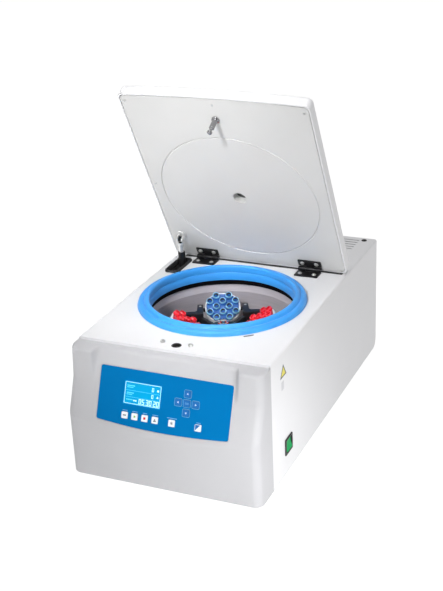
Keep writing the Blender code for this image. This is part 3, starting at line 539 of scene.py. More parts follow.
def lathe(profile, steps=48, closed=False, turn=None):
    """Sweeps a profile of (radius, height) points round Z. A radius of zero becomes one point."""
    shape = bmesh.new()
    rings = []
    for step in range(steps):
        angle = 2 * math.pi * step / steps
        rings.append(
            [
                shape.verts.new((radius * math.cos(angle), radius * math.sin(angle), height))
                for radius, height in profile
            ]
        )
    count = len(profile)
    for step in range(steps):
        here, following = rings[step], rings[(step + 1) % steps]
        for index in range(count if closed else count - 1):
            after = (index + 1) % count
            shape.faces.new((here[index], following[index], following[after], here[after]))
    bmesh.ops.remove_doubles(shape, verts=shape.verts, dist=1e-6)
    bmesh.ops.dissolve_degenerate(shape, edges=shape.edges, dist=1e-7)
    if turn is not None:
        bmesh.ops.transform(shape, matrix=turn, verts=shape.verts)
    return shape


def curve_through(points, per=4, closed=False):
    """A Catmull-Rom curve through these points."""
    count = len(points)
    made = []
    spans = count if closed else count - 1
    for index in range(spans):
        if closed:
            around = [points[(index + offset) % count] for offset in (-1, 0, 1, 2)]
        else:
            around = [points[min(max(index + offset, 0), count - 1)] for offset in (-1, 0, 1, 2)]
        before, start, end, beyond = (Vector(point) for point in around)
        for step in range(per):
            t = step / per
            made.append(
                tuple(
                    0.5
                    * (
                        2 * start
                        + (end - before) * t
                        + (2 * before - 5 * start + 4 * end - beyond) * t * t
                        + (3 * start - before - 3 * end + beyond) * t * t * t
                    )
                )
            )
    if not closed:
        made.append(tuple(points[-1]))
    return made


LIE_X = Matrix.Rotation(math.pi / 2, 4, "Y")
FACE_X = Matrix(((0, 0, 1, 0), (1, 0, 0, 0), (0, 1, 0, 0), (0, 0, 0, 1)))


def at(x, y, z=0.0):
    """A move, as a matrix."""
    return Matrix.Translation((x, y, z))


def ease(value):
    """A smooth step from 0 to 1."""
    value = min(max(value, 0.0), 1.0)
    return value * value * (3 - 2 * value)


# ---------------------------------------------------------------- front fascia


def crease_height(x):
    """The height of the front cover's crease, which dips towards the middle."""
    return CREASE_Z - CREASE_DIP * (1 - (2 * x / CASE_W) ** 2)


def fascia_depth(x, z):
    """How far the fascia stands in front of the seam, with the crease and the cheeks softly rounded."""
    crease = crease_height(x)
    face = slant(z)
    lower = slant(crease) + (FASCIA_FOOT - slant(crease)) * (1 - z / crease)
    soft = 0.0016
    blend = max(soft - abs(face - lower), 0.0) / soft
    depth = min(face, lower) - blend * blend * soft / 4
    cheek = 0.036 + 0.08 * (CASE_H - z)
    share = ease((abs(x) - CHEEK_INNER) / (CHEEK_OUTER - CHEEK_INNER))
    depth = max(depth, depth + (cheek - depth) * share)
    for edge, radius in ((FASCIA_TOP - z, FASCIA_TOP_R), (z - GAP, FASCIA_BOTTOM_R)):
        if edge < radius:
            depth -= radius - math.sqrt(max(radius**2 - (radius - edge) ** 2, 0.0))
    corner = min(CORNER_R, depth - 0.010)
    into = abs(x) - (CASE_W / 2 - corner)
    if into > 0:
        depth -= corner - math.sqrt(max(corner**2 - into**2, 0.0))
    return depth


def panel_outline(margin, steps=6):
    """The keypad's outline, with its bowed lower edge, grown by a margin."""
    half_w, half_h = PANEL_W / 2 + margin, PANEL_H / 2 + margin
    return rounded(-half_w, half_w, half_h, -half_h, 0.004 + margin, PANEL_BOW, steps)


def fascia():
    """The moulded front cover with its panel recess, and the soft bead round the keypad."""
    half = [0.131 * step / 16 for step in range(17)]
    half += [CHEEK_INNER + (CHEEK_OUTER - CHEEK_INNER) * step / 8 for step in range(1, 9)]
    half += [0.148, 0.156]
    half += [CASE_W / 2 - CORNER_R * (1 - math.sin(math.radians(7.5 * step))) for step in range(1, 13)]
    columns = [-x for x in reversed(half[1:])] + half
    grid = []
    for x in columns:
        crease = crease_height(x)
        rows = [FASCIA_TOP - FASCIA_TOP_R * (1 - math.cos(math.radians(10 * a))) for a in range(10)]
        rows += [0.2365 + (0.180 - 0.2365) * step / 14 for step in range(1, 15)]
        top = crease + 0.007
        rows += [0.180 + (top - 0.180) * step / 8 for step in range(1, 9)]
        rows += [top - 0.014 * step / 10 for step in range(1, 11)]
        low = crease - 0.007
        rows += [low + (0.006 - low) * step / 8 for step in range(1, 9)]
        rows += [GAP + FASCIA_BOTTOM_R * (1 - math.sin(math.radians(15 * a))) for a in range(7)]
        grid.append([(x, -fascia_depth(x, z), z) for z in rows])
    shape = bmesh.new()
    ends = [[(x, -GAP, z) for _, _, z in column] for x, column in ((columns[0], grid[0]), (columns[-1], grid[-1]))]
    stations = [ends[0]] + grid + [ends[1]]
    verts = [[shape.verts.new(point) for point in column] for column in stations]
    for left, right in zip(verts, verts[1:]):
        for row in range(len(left) - 1):
            shape.faces.new((left[row], left[row + 1], right[row + 1], right[row]))
    shape.faces.new([column[0] for column in verts])
    shape.faces.new([column[-1] for column in reversed(verts)])
    bmesh.ops.recalc_face_normals(shape, faces=shape.faces)
    inner = bmesh.ops.duplicate(shape, geom=list(shape.verts) + list(shape.edges) + list(shape.faces))
    copied = [item for item in inner["geom"] if isinstance(item, bmesh.types.BMVert)]
    faces = [item for item in inner["geom"] if isinstance(item, bmesh.types.BMFace)]
    shape.normal_update()
    moves = {vert: vert.normal.copy() for vert in copied}
    for vert, normal in moves.items():
        if vert.co.y < -GAP - 1e-6:
            vert.co -= normal * FASCIA_WALL
            vert.co.y = min(vert.co.y, -GAP)
        else:
            vert.co.x -= math.copysign(FASCIA_WALL, vert.co.x)
            vert.co.z = min(max(vert.co.z, FASCIA_WALL), FASCIA_TOP - FASCIA_WALL)
    bmesh.ops.reverse_faces(shape, faces=faces)
    open_edges = [edge for edge in shape.edges if len(edge.link_faces) == 1]
    bmesh.ops.bridge_loops(shape, edges=open_edges)
    onto = CASE.inverted() @ PANEL
    recess = slab(panel_outline(0.0016), -RECESS, 0.02)
    bmesh.ops.transform(recess, matrix=onto, verts=recess.verts)
    shape = carve(shape, recess)
    window = block((-0.086, -0.042, -0.02), (0.078, 0.031, 0.02), turn=onto)
    shape = carve(shape, window)
    piece("fascia_cover", shape, CASE, "case", "fascia_plastic", ("front_fascia",), 40)
    rim = loft(
        [
            lifted(panel_outline(0.0015), -0.0010),
            lifted(panel_outline(0.0014), 0.0001),
            lifted(panel_outline(0.0011), 0.0005),
            lifted(panel_outline(0.0006), 0.0005),
            lifted(panel_outline(0.0003), 0.0001),
            lifted(panel_outline(0.0002), -0.0010),
        ],
        False,
        False,
    )
    bridge_ends(rim, len(panel_outline(0.0)), 6)
    piece("keypad_bead", rim, PANEL, "case", "fascia_plastic", crease=60)


def bridge_ends(shape, count, loops):
    """Closes a tube of loops by joining its last loop to its first."""
    shape.verts.ensure_lookup_table()
    first = shape.verts[:count]
    last = shape.verts[count * (loops - 1): count * loops]
    for index in range(count):
        after = (index + 1) % count
        shape.faces.new((last[index], last[after], first[after], first[index]))


# ---------------------------------------------------------------- keypad prints, glyphs and display


def ring_of(outer, inner, low, high):
    """A flat frame between two outlines with the same number of points."""
    shape = loft(
        [lifted(outer, low), lifted(outer, high), lifted(inner, high), lifted(inner, low)],
        False,
        False,
    )
    bridge_ends(shape, len(outer), 4)
    return shape


def flat(points, low, high):
    """A thin prism over an outline, between two heights."""
    return loft([lifted(points, low), lifted(points, high)])


def glyph(name, x, y, shapes, body, finish, low=0.00075, high=0.00090):
    shape = bmesh.new()
    for points in shapes:
        combine(shape, flat(points, low, high))
    piece(name, shape, PANEL @ at(x, y), body, finish)


def bar(left, right, low, high):
    """The four corners of a rectangle."""
    return [(left, low), (right, low), (right, high), (left, high)]


def triangle(x, y, size, degrees):
    """A triangle that points along this direction."""
    return [
        (
            x + size * math.cos(math.radians(degrees + turn)),
            y + size * math.sin(math.radians(degrees + turn)),
        )
        for turn in (0, 120, 240)
    ]


SEGMENTS = {
    "0": "abcdef", "1": "bc", "2": "abged", "3": "abgcd", "4": "fgbc", "5": "afgcd",
    "6": "afgecd", "7": "abc", "8": "abcdefg", "9": "abcdfg",
}


def digit_shapes(character, x, y, height):
    """The bars of one seven-segment digit with its lower left corner at x, y."""
    width, pen = height * 0.52, height * 0.13
    mid = height / 2
    lines = {
        "a": bar(0, width, height - pen, height),
        "b": bar(width - pen, width, mid, height),
        "c": bar(width - pen, width, 0, mid),
        "d": bar(0, width, 0, pen),
        "e": bar(0, pen, 0, mid),
        "f": bar(0, pen, mid, height),
        "g": bar(0, width, mid - pen / 2, mid + pen / 2),
    }
    return [[(x + px, y + py) for px, py in lines[name]] for name in SEGMENTS[character]]


def display():
    """The lit window's border, dividers, digits and faint label bars, a hair above the module's face."""
    low, high = -0.00115, -0.00105
    centre = PANEL @ at(DISPLAY_X, DISPLAY_Y)
    half_w, half_h = DISPLAY_W / 2 - 0.0016, DISPLAY_H / 2 - 0.0016
    outer = inset(half_w, half_h, 0.0016, 0.0)
    inner = inset(half_w, half_h, 0.0016, 0.00075)
    piece("display_border", ring_of(outer, inner, low, high), centre, "case", "lcd_pale")
    pale = bmesh.new()
    for text, left, base, height in (
        ("0", 0.0175, 0.0075, 0.0068),
        ("0", 0.0175, -0.0045, 0.0068),
        ("0", -0.0060, -0.0175, 0.0090),
        ("5", 0.0000, -0.0175, 0.0090),
        ("3", 0.0080, -0.0175, 0.0090),
        ("0", 0.0140, -0.0175, 0.0090),
        ("2", 0.0220, -0.0175, 0.0090),
        ("0", 0.0280, -0.0175, 0.0090),
    ):
        for points in digit_shapes(text, left, base, height):
            combine(pale, flat(points, low, high + 0.00004))
    for points in (
        bar(0.0275, 0.0310, 0.0085, 0.0120),
        triangle(0.0292, -0.0015, 0.0024, 90),
        bar(-0.0165, -0.0140, -0.0140, -0.0115),
        bar(-0.0130, -0.0105, -0.0140, -0.0115),
    ):
        combine(pale, flat(points, low, high + 0.00004))
    piece("display_digits", pale, centre, "case", "lcd_pale")
    faint = bmesh.new()
    for left, right, base, top in (
        (-0.0310, -0.0160, 0.0118, 0.0134),
        (-0.0310, -0.0190, 0.0090, 0.0102),
        (-0.0310, -0.0170, -0.0008, 0.0008),
        (-0.0310, -0.0200, -0.0036, -0.0024),
        (-0.0310, -0.0180, -0.0128, -0.0112),
        (-0.0325, 0.0325, 0.0040, 0.0045),
        (-0.0325, 0.0325, -0.0075, -0.0070),
    ):
        combine(faint, flat(bar(left, right, base, top), low, high))
    piece("display_labels", faint, centre, "case", "lcd_faint")


def keypad_prints():
    """Caption bars over the keys, frames round the arrow keys, and a glyph on every key."""
    captions = bmesh.new()
    for x, width in ((-0.0720, 0.0095), (-0.0525, 0.0105), (-0.0329, 0.0085), (-0.0130, 0.0110),
                     (0.0193, 0.0185), (0.0693, 0.0080)):
        base = ROW_Y + KEY_SIDE / 2 + 0.0022
        combine(captions, flat(bar(x - width / 2, x + width / 2, base, base + 0.0011), 0.00002, 0.00010))
    piece("keypad_captions", captions, PANEL, "case", "print_pale")
    frames = bmesh.new()
    half = KEY_SIDE / 2
    outer = inset(half + 0.0013, half + 0.0013, 0.0026, 0.0)
    inner = inset(half + 0.0013, half + 0.0013, 0.0026, 0.0006)
    for dx, dy in ((0, 1), (-1, 0), (0, 0), (1, 0), (0, -1)):
        combine(
            frames,
            ring_of(outer, inner, 0.00002, 0.00010),
            at(PAD_X + dx * PAD_STEP, PAD_Y + dy * PAD_STEP),
        )
    piece("arrow_key_frames", frames, PANEL, "case", "print_pale")
    for name, dx, dy, turn in (("up", 0, 1, 90), ("left", -1, 0, 180), ("right", 1, 0, 0), ("down", 0, -1, 270)):
        glyph(
            f"glyph_{name}", PAD_X + dx * PAD_STEP, PAD_Y + dy * PAD_STEP,
            [triangle(0, 0, 0.0021, turn)], f"key_{name}_cap", "print_white",
        )
    glyph(
        "glyph_enter", PAD_X, PAD_Y,
        [bar(-0.0034, 0.0034, 0.0006, 0.0013), bar(-0.0034, 0.0034, -0.0013, -0.0006)],
        "key_enter_cap", "print_pale",
    )
    glyph(
        "glyph_select", -0.0720, ROW_Y,
        [triangle(-0.0015, 0, 0.0021, 180), triangle(0.0015, 0, 0.0021, 0)],
        "key_select_cap", "print_dark",
    )
    glyph("glyph_start", -0.0525, ROW_Y, [triangle(0.0002, 0, 0.0027, 0)], "key_start_cap",
          "print_green")
    glyph("glyph_stop", -0.0329, ROW_Y, [bar(-0.0021, 0.0021, -0.0021, 0.0021)], "key_stop_cap",
          "print_red")
    glyph(
        "glyph_program", -0.0130, ROW_Y,
        [bar(-0.0026, 0.0026, -0.0026, -0.0012), bar(-0.0017, 0.0017, -0.0006, 0.0006),
         bar(-0.0010, 0.0010, 0.0010, 0.0022)],
        "key_program_cap", "print_dark",
    )
    flake = []
    for index in range(3):
        turn = Matrix.Rotation(math.radians(60 * index + 30), 2)
        flake.append([tuple(turn @ Vector(point)) for point in bar(-0.0030, 0.0030, -0.00035, 0.00035)])
    glyph("glyph_cooling", 0.0193, ROW_Y, flake, "key_cooling_cap", "print_dark")
    half = KEY_SIDE / 2 - 0.0008
    glyph(
        "glyph_lid", 0.0693, ROW_Y,
        [[(-half, -half), (half - 0.0012, half), (-half, half)]],
        "key_lid_cap", "key_blue",
    )


# ---------------------------------------------------------------- lid


def lid_outline(by, steps=8):
    """The lid's outline, drawn in by some distance."""
    edge = CASE_W / 2 - by
    return rounded(-edge, edge, 0.0075 - by, by - LID_FRONT, 0.010, 0.005, steps)


def lid_shell():
    """The pressed lid cover: softly rounded outer edges, hollow underneath, bored for the sight glass."""
    under, over, soft = HINGE_RISE, HINGE_RISE + LID_T, 0.0075
    loops = [lifted(lid_outline(0.0006), under), lifted(lid_outline(0.0), under + 0.0006)]
    for step in range(8):
        angle = math.radians(90 * step / 7)
        loops.append(
            lifted(lid_outline(soft * (1 - math.cos(angle))), over - soft * (1 - math.sin(angle)))
        )
    shape = loft(loops)
    hollow = slab(lid_outline(LID_WALL), under - 0.01, over - LID_WALL)
    shape = carve(shape, hollow)
    shape = carve(shape, lathe([(0, 0), (SIGHT_R, 0), (SIGHT_R, 0.1), (0, 0.1)], 40, turn=at(0, CHAMBER_Y - HINGE_Y)))
    piece("lid_cover", shape, LID, "lid", "white_paint", ("lid_shell",), 30)


def lid_liner():
    """The inner plate with its pressed ring, the screws that hold it, and the sight window's sleeve."""
    under = HINGE_RISE
    centre = at(0, CHAMBER_Y - HINGE_Y)
    shape = slab(lid_outline(LID_WALL + 0.0012), under, under + PLATE_T, 0.0004, ("bottom",), 2)
    ring = lathe(
        [(GROOVE_R - 0.0015, under - 0.001), (GROOVE_R - 0.0015, under), (GROOVE_R - 0.0005, under + 0.0015),
         (GROOVE_R + 0.0005, under + 0.0015), (GROOVE_R + 0.0015, under), (GROOVE_R + 0.0015, under - 0.001)],
        120, True, centre,
    )
    shape = carve(shape, ring)
    hole = lathe([(0, 0), (SIGHT_R, 0), (SIGHT_R, 0.1), (0, 0.1)], 40, turn=centre)
    shape = carve(shape, hole)
    piece("lid_liner_plate", shape, LID, "lid", "lid_liner", ("lid_inner_plate",), 30)
    window = lathe(
        [(0, 0.0190), (0.0120, 0.0190), (0.0131, 0.0195), (0.0131, 0.0315), (0.0120, 0.0322), (0.0070, 0.0327),
         (0, 0.0329)], 40, turn=centre,
    )
    piece("sight_window", window, LID, "lid", "sight_glass", ("lid_sight_glass",))
    sleeve = lathe(
        [(0.0133, 0.0057), (0.0137, 0.0053), (0.0144, 0.0053), (0.0147, 0.0057), (0.0147, 0.0318),
         (0.0145, 0.0322), (0.0136, 0.0322), (0.0133, 0.0318)], 48, True, centre,
    )
    piece("sight_sleeve", sleeve, LID, "lid", "lid_liner")
    screws = bmesh.new()
    for x, y in ((-0.1735, -0.4195), (0.1735, -0.4195), (0.0, -0.4225), (-0.174, -0.2035),
                 (-0.174, 0.001), (0.174, 0.001), (0.0, 0.0015)):
        combine(screws, pan_screw(0.0031, 0.0008), at(x, y, under) @ Matrix.Rotation(math.pi, 4, "X"))
    piece("liner_screws", screws, LID, "lid", "screw_steel")


def pan_screw(radius, height):
    """A domed screw head with a cross recess, standing on the plane z = 0."""
    dome = [(radius * math.cos(math.radians(a)), height * math.sin(math.radians(a))) for a in range(0, 90, 15)]
    head = lathe([(0, -0.0004), (radius, -0.0004)] + dome + [(0, height)], 20)
    for turn in (0, 90):
        slot = block(
            (-radius * 0.52, -radius * 0.13, height * 0.25), (radius * 0.52, radius * 0.13, height * 2), 0, 1,
            Matrix.Rotation(math.radians(turn + 20), 4, "Z"),
        )
        head = carve(head, slot)
    return head


def striker():
    """The latch pin on the lid: flange, turned shank with a collar, and a necked catch at the end."""
    profile = [
        (0, -GAP), (0.0072, -GAP), (0.0076, -0.0007), (0.0076, -0.0026), (0.0070, -0.0033), (0.0056, -0.0036),
        (0.0051, -0.0042), (0.0050, -0.0060), (0.0050, -0.0222), (0.0048, -0.0230), (0.0028, -0.0244),
        (0.0026, -0.0250), (0.0026, -0.0296), (0.0028, -0.0302), (0.0046, -0.0314), (0.0049, -0.0320),
        (0.0049, -0.0336), (0.0046, -0.0346), (0.0030, -0.0357), (0, -0.0360),
    ]
    place = LID @ at(0, LATCH_Y - HINGE_Y, HINGE_RISE)
    piece("striker", lathe(profile, 32), place, "lid", "turned_steel", ("lid_striker_pin",), 28)


# ---------------------------------------------------------------- hinges


def knuckle(start, end):
    """A rolled knuckle along X with fine ribs."""
    count = max(round((end - start) / 0.0027), 2)
    pitch = (end - start) / count
    profile = [(0.0023, start), (KNUCKLE_R - 0.0004, start), (KNUCKLE_R, start + 0.0004)]
    for index in range(1, count):
        x = start + index * pitch
        profile += [(KNUCKLE_R, x - 0.0004), (KNUCKLE_R - 0.0003, x), (KNUCKLE_R, x + 0.0004)]
    profile += [(KNUCKLE_R, end - 0.0004), (KNUCKLE_R - 0.0004, end), (0.0023, end)]
    return lathe(profile, 28, True, LIE_X)


def hinges():
    """Each hinge's two leaves with their knuckles, and the silver screws in them."""
    half, third = HINGE_W / 2, HINGE_W / 6
    for label, x in (("left", -HINGE_X), ("right", HINGE_X)):
        deck_place = HINGE @ at(x, 0)
        low = GAP - HINGE_RISE
        for side, place, body, rear_edge, z in (
            ("deck", deck_place, "case", -0.029, low),
            ("lid", LID @ at(x, 0), "lid", -0.0205, HINGE_RISE - GAP - LEAF_T),
        ):
            face = "top" if side == "deck" else "bottom"
            outline = rounded(-half, half, -0.0012, rear_edge, 0.0016, 0.0, 4)
            shape = slab(outline, z, z + LEAF_T, 0.0006, (face,), 2)
            if side == "lid":
                spans = ((-third, third),)
                relief_spans = ((-3.2 * third, -third + GAP), (third - GAP, 3.2 * third))
            else:
                spans = ((-3 * third, -third), (third, 3 * third))
                relief_spans = ((-third - GAP, third + GAP),)
            shape = relieve(shape, relief_spans)
            for start, end in spans:
                combine(shape, knuckle(start + GAP, end - GAP))
            piece(
                f"hinge_{side}_{label}", shape, place, body, "black_steel",
                (f"hinge_{side}_leaf_{label}",), 30,
            )
            screws = bmesh.new()
            for dx in (-0.0145, 0.0145):
                y = -0.0130 if side == "lid" else -0.0185
                turn = Matrix.Rotation(math.pi, 4, "X") if side == "lid" else Matrix.Identity(4)
                height = z if side == "lid" else z + LEAF_T
                combine(screws, socket_screw(), at(dx, y, height) @ turn)
            piece(f"hinge_{side}_{label}_screws", screws, place, body, "screw_steel")


def relieve(shape, spans):
    """Cuts the leaf's plate away round the other leaf's knuckles."""
    for start, end in spans:
        reach = KNUCKLE_R + 0.0006
        shape = carve(shape, block((start, -reach, -reach), (end, reach, reach)))
    return shape


def socket_screw():
    """A button head with a round dark socket."""
    profile = [
        (0, 0.0002), (0.0016, 0.0002), (0.0019, 0.0015), (0.0026, 0.0018), (0.0035, 0.0016), (0.0042, 0.0010),
        (0.0046, 0.0002), (0.0046, -0.0004), (0, -0.0004),
    ]
    return lathe(profile, 24)


# ---------------------------------------------------------------- gas strut


def strut():
    """Bright bracket ears on the lid, the eye and neck between them, the eye painted dark as shade in the gap between
    the ears, the black tube, and its slot frame.
    """
    eye = STRUT_EYE_Z - HINGE_RISE
    bracket_place = LID @ at(STRUT_X, STRUT_EYE_Y, HINGE_RISE)
    flange = slab(rounded(-0.0085, 0.0085, 0.0090, -0.0105, 0.0025), -GAP - 0.0016, -GAP, 0.0004, ("bottom",), 2)
    piece("strut_bracket_flange", flange, bracket_place, "lid", "lid_liner")
    ear = [(-0.0080, -0.0012), (0.0060, -0.0012)]
    ear += [
        (EAR_R * math.cos(math.radians(turn)), eye + EAR_R * math.sin(math.radians(turn)))
        for turn in range(0, -145, -15)
    ]
    bracket = bmesh.new()
    for sign in (-1, 1):
        near, far = sorted((sign * 0.0036, sign * 0.0060))
        plate = slab(ear, near, far, 0.0004, ("top", "bottom"), 2)
        combine(bracket, plate, FACE_X)
        start, end = sorted((sign * 0.0058, sign * 0.0074))
        head = lathe([(0, start), (0.0026, start), (0.0030, (start + end) / 2), (0.0026, end), (0, end)], 20)
        combine(bracket, head, Matrix.Translation((0, 0, eye)) @ LIE_X)
    piece("strut_bracket", bracket, bracket_place, "lid", "bright_steel", ("strut_lid_bracket",), 30)
    end_fitting = lathe(
        [(0, -0.0300), (0.0048, -0.0300), (0.0048, -0.0165), (0.0054, -0.0155), (0.0057, -0.0135), (0.0055, -0.0108),
         (0.0046, -0.0084), (0.0030, -0.0074), (0, -0.0072)], 28,
    )
    piece("strut_end_fitting", end_fitting, STRUT, "strut_tube", "bright_steel", (), 30)
    # The eye and its stem are black: painted shade in the gap between the bracket's ears.
    eye_painted_shade = lathe(
        [(0.0028, -0.0028), (0.0052, -0.0028), (0.0058, -0.0022), (0.0058, 0.0022), (0.0052, 0.0028), (0.0028, 0.0028)],
        32, True, LIE_X,
    )
    combine(eye_painted_shade, block((-0.0028, -0.0038, -0.0112), (0.0028, 0.0038, -0.0030), 0.0006, 2))
    piece("strut_eye_painted_shade", eye_painted_shade, STRUT, "strut_tube", "black_steel", (), 30)
    barrel = lathe(
        [(0.0034, -0.0500), (0.0034, -0.1150), (0.0068, -0.1150), (0.0074, -0.1144), (0.0074, -0.0294),
         (0.0070, -0.0284), (0.0056, -0.0280), (0.0049, -0.0280), (0.0034, -0.0310)], 36, True,
    )
    piece("strut_barrel", barrel, STRUT, "strut_tube", "black_steel", ("gas_spring_cylinder",), 30)
    left, right = STRUT_X - 0.0115, STRUT_X + 0.0185
    rear, front = 0.3960, 0.3205
    loops = []
    for by, z in ((0.0, 0.0003), (0.0, 0.0026), (0.0006, 0.0040), (0.0020, 0.0051), (0.0031, 0.0052),
                  (0.0035, 0.0044), (0.0035, -0.0055)):
        radius = max(0.0065 - by, 0.002)
        loops.append(lifted(rounded(left + by, right - by, rear - by, front + by, radius), z))
    loops.append(lifted(rounded(left + 0.0024, right - 0.0034, rear - 0.0028, front + 0.0028, 0.003), -0.0055))
    loops.append(lifted(rounded(left + 0.0024, right - 0.0034, rear - 0.0028, front + 0.0028, 0.003), 0.0003))
    frame_shape = loft(loops, False, False)
    bridge_ends(frame_shape, len(loops[0]), len(loops))
    for index in range(15):
        y = front + 0.0075 + 0.0042 * index
        combine(frame_shape, block((left - 0.0004, y, 0.0006), (left + 0.0022, y + 0.0021, 0.0047), 0.0005, 1))
    piece("strut_slot_frame", frame_shape, DECK, "case", "black_rubber", ("strut_grommet",), 35)


# ---------------------------------------------------------------- chamber


def chamber():
    """Blue gasket with a low outer and a high inner lobe, its skirt, the black lip and the satin bowl."""
    outer = curve_through(
        [(0.1600, 0.0028), (0.1592, 0.0062), (0.1568, 0.0088), (0.1540, 0.0098), (0.1512, 0.0096), (0.1493, 0.0091)], 4
    )
    inner = curve_through(
        [(0.1482, 0.0100), (0.1466, 0.0128), (0.1438, 0.0149), (0.1408, 0.0155), (0.1386, 0.0142), (0.1376, 0.0112),
         (0.1374, 0.0066), (0.1379, 0.0022)], 4
    )
    profile = [(0.1605, 0.0003), (0.1609, 0.0012), (0.1606, 0.0021)] + outer + inner + [(0.1385, 0.0003)]
    bead = piece("gasket_bead", lathe(profile, 144, True), CHAMBER_TOP, "case", "gasket_blue",
                 ("chamber_gasket",), 30)
    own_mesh(bead)
    skirt = [(0.1484, 0.0001), (0.1385, 0.0001), (0.1378, -0.0014), (0.1377, -0.0148), (0.1382, -0.0158),
             (0.1390, -0.0161), (0.1484, -0.0161)]
    piece("gasket_skirt", lathe(skirt, 144, True), CHAMBER_TOP, "case", "gasket_blue", (), 30)
    lip = [
        (0.1578, -0.0023), (0.1580, -0.0262), (0.1415, -0.0262), (0.1407, -0.0258), (0.1404, -0.0250),
        (0.1404, -0.0216), (0.1408, -0.0210), (0.1404, -0.0204), (0.1404, -0.0172), (0.1410, -0.0164),
        (0.1513, -0.0163), (0.1515, -0.0023),
    ]
    piece("lip_ring", lathe(lip, 120, True), CHAMBER_TOP, "case", "lip_black",
          ("chamber_lip_ring",), 30)
    floor, wall = BOWL_FLOOR, 0.0015
    knee = [
        (BOWL_R - 0.014 * (1 - math.cos(math.radians(a))), floor + 0.014 * (1 - math.sin(math.radians(a))))
        for a in range(0, 91, 10)
    ]
    outside = [
        (BOWL_R + wall - 0.0155 * (1 - math.cos(math.radians(a))),
         floor - wall + 0.0155 * (1 - math.sin(math.radians(a))))
        for a in range(90, -1, -15)
    ]
    profile = [(0.1575, -0.0265), (BOWL_R + 0.0012, -0.0265), (BOWL_R, -0.0272)]
    profile += [(BOWL_R, -0.0420), (BOWL_R - 0.0003, -0.0426), (BOWL_R, -0.0432)]
    profile += knee + [(0.0160, floor), (0.0160, floor - wall)] + outside
    profile += [(BOWL_R + wall, -0.0280), (0.1575, -0.0280)]
    piece("bowl_lining", lathe(profile, 120, True), CHAMBER_TOP, "case", "stainless_bowl",
          ("chamber_bowl",), 40)


# ---------------------------------------------------------------- rotor, buckets and racks


def rotor():
    """Hub, four arms, corner blocks and trunnion pins, with the nut on top."""
    hub = lathe(
        [(0.0076, 0.1602), (0.0210, 0.1602), (0.0220, 0.1612), (0.0220, 0.1800), (0.0290, 0.1830), (0.0310, 0.1850),
         (0.0314, 0.1885), (0.0306, 0.1910), (0.0290, 0.1922), (0.0190, 0.1935), (0.0180, 0.1950), (0.0168, 0.1958),
         (0.0076, 0.1958)], 48, True,
    )
    screws = bmesh.new()
    for quadrant in range(4):
        turn = Matrix.Rotation(math.radians(90 * quadrant), 4, "Z")
        diagonal = turn @ Matrix.Rotation(math.radians(45), 4, "Z")
        arm = loft(
            [
                [(0.016, -0.0044, 0.168), (0.016, 0.0044, 0.168), (0.016, 0.0044, 0.1885), (0.016, -0.0044, 0.1885)],
                [(0.056, -0.0034, 0.176), (0.056, 0.0034, 0.176), (0.056, 0.0034, 0.1955), (0.056, -0.0034, 0.1955)],
                [(0.063, -0.0034, 0.180), (0.063, 0.0034, 0.180), (0.063, 0.0034, 0.2000), (0.063, -0.0034, 0.2000)],
            ]
        )
        bmesh.ops.bevel(arm, geom=list(arm.edges), offset=0.0008, segments=2, profile=0.5, affect="EDGES")
        combine(hub, arm, diagonal)
        inside, outside, reach = 0.0384, 0.0500, TRUNNION_R + 0.0095
        elbow = [(inside, inside), (reach, inside), (reach, outside), (0.0535, outside), (outside, 0.0535),
                 (outside, reach), (inside, reach)]
        corner = loft([lifted(elbow, 0.1867), lifted(elbow, 0.2043)])
        bmesh.ops.bevel(corner, geom=list(corner.edges), offset=0.0010, segments=2, profile=0.5, affect="EDGES")
        combine(hub, corner, turn)
        for axis_turn, centre in (
            (LIE_X, (0, TRUNNION_R, TRUNNION_Z)),
            (Matrix.Rotation(-math.pi / 2, 4, "X"), (TRUNNION_R, 0, TRUNNION_Z)),
        ):
            pin = lathe([(0, 0.0336), (0.0036, 0.0336), (0.0040, 0.0340), (0.0040, 0.0412), (0, 0.0412)], 20)
            combine(hub, pin, turn @ Matrix.Translation(centre) @ axis_turn)
        for x, y in ((0.0442, TRUNNION_R), (TRUNNION_R, 0.0442)):
            combine(screws, pan_screw(0.0024, 0.0009), turn @ at(x, y, 0.2043))
        for x, y, along in ((0.0442, reach, "Y"), (reach, 0.0442, "X")):
            facing = Matrix.Rotation(-math.pi / 2, 4, "X") if along == "Y" else LIE_X
            combine(screws, pan_screw(0.0026, 0.0007), turn @ at(x, y, TRUNNION_Z) @ facing)
    piece("rotor_cross", hub, ROTOR, "rotor", "rotor_black", ("rotor_yoke",), 30)
    piece("rotor_screws", screws, ROTOR, "rotor", "screw_steel")
    nut = slab([(0.0105 * math.cos(math.radians(60 * k)), 0.0105 * math.sin(math.radians(60 * k))) for k in range(6)],
               0.1960, 0.2030, 0.0008, ("top",), 2)
    cap = lathe([(0, 0.1990), (0.0070, 0.1990), (0.0070, 0.2050), (0.0062, 0.2072), (0.0040, 0.2082), (0, 0.2085)], 32)
    slot = block((-0.0100, -0.0010, 0.2055), (0.0100, 0.0010, 0.22))
    combine(nut, carve(cap, slot))
    piece("clamp_nut", nut, ROTOR, "rotor", "chrome_steel", ("rotor_nut",), 30)


WELL_ROW = 0.0122
WELL_STEP = 0.0126
WELLS = [(sign * WELL_STEP, row * WELL_ROW) for row in (-2, 0, 2) for sign in (-1, 1)] + [
    (column * 2 * WELL_STEP, row * WELL_ROW) for row in (-1, 1) for column in (-1, 0, 1)
]


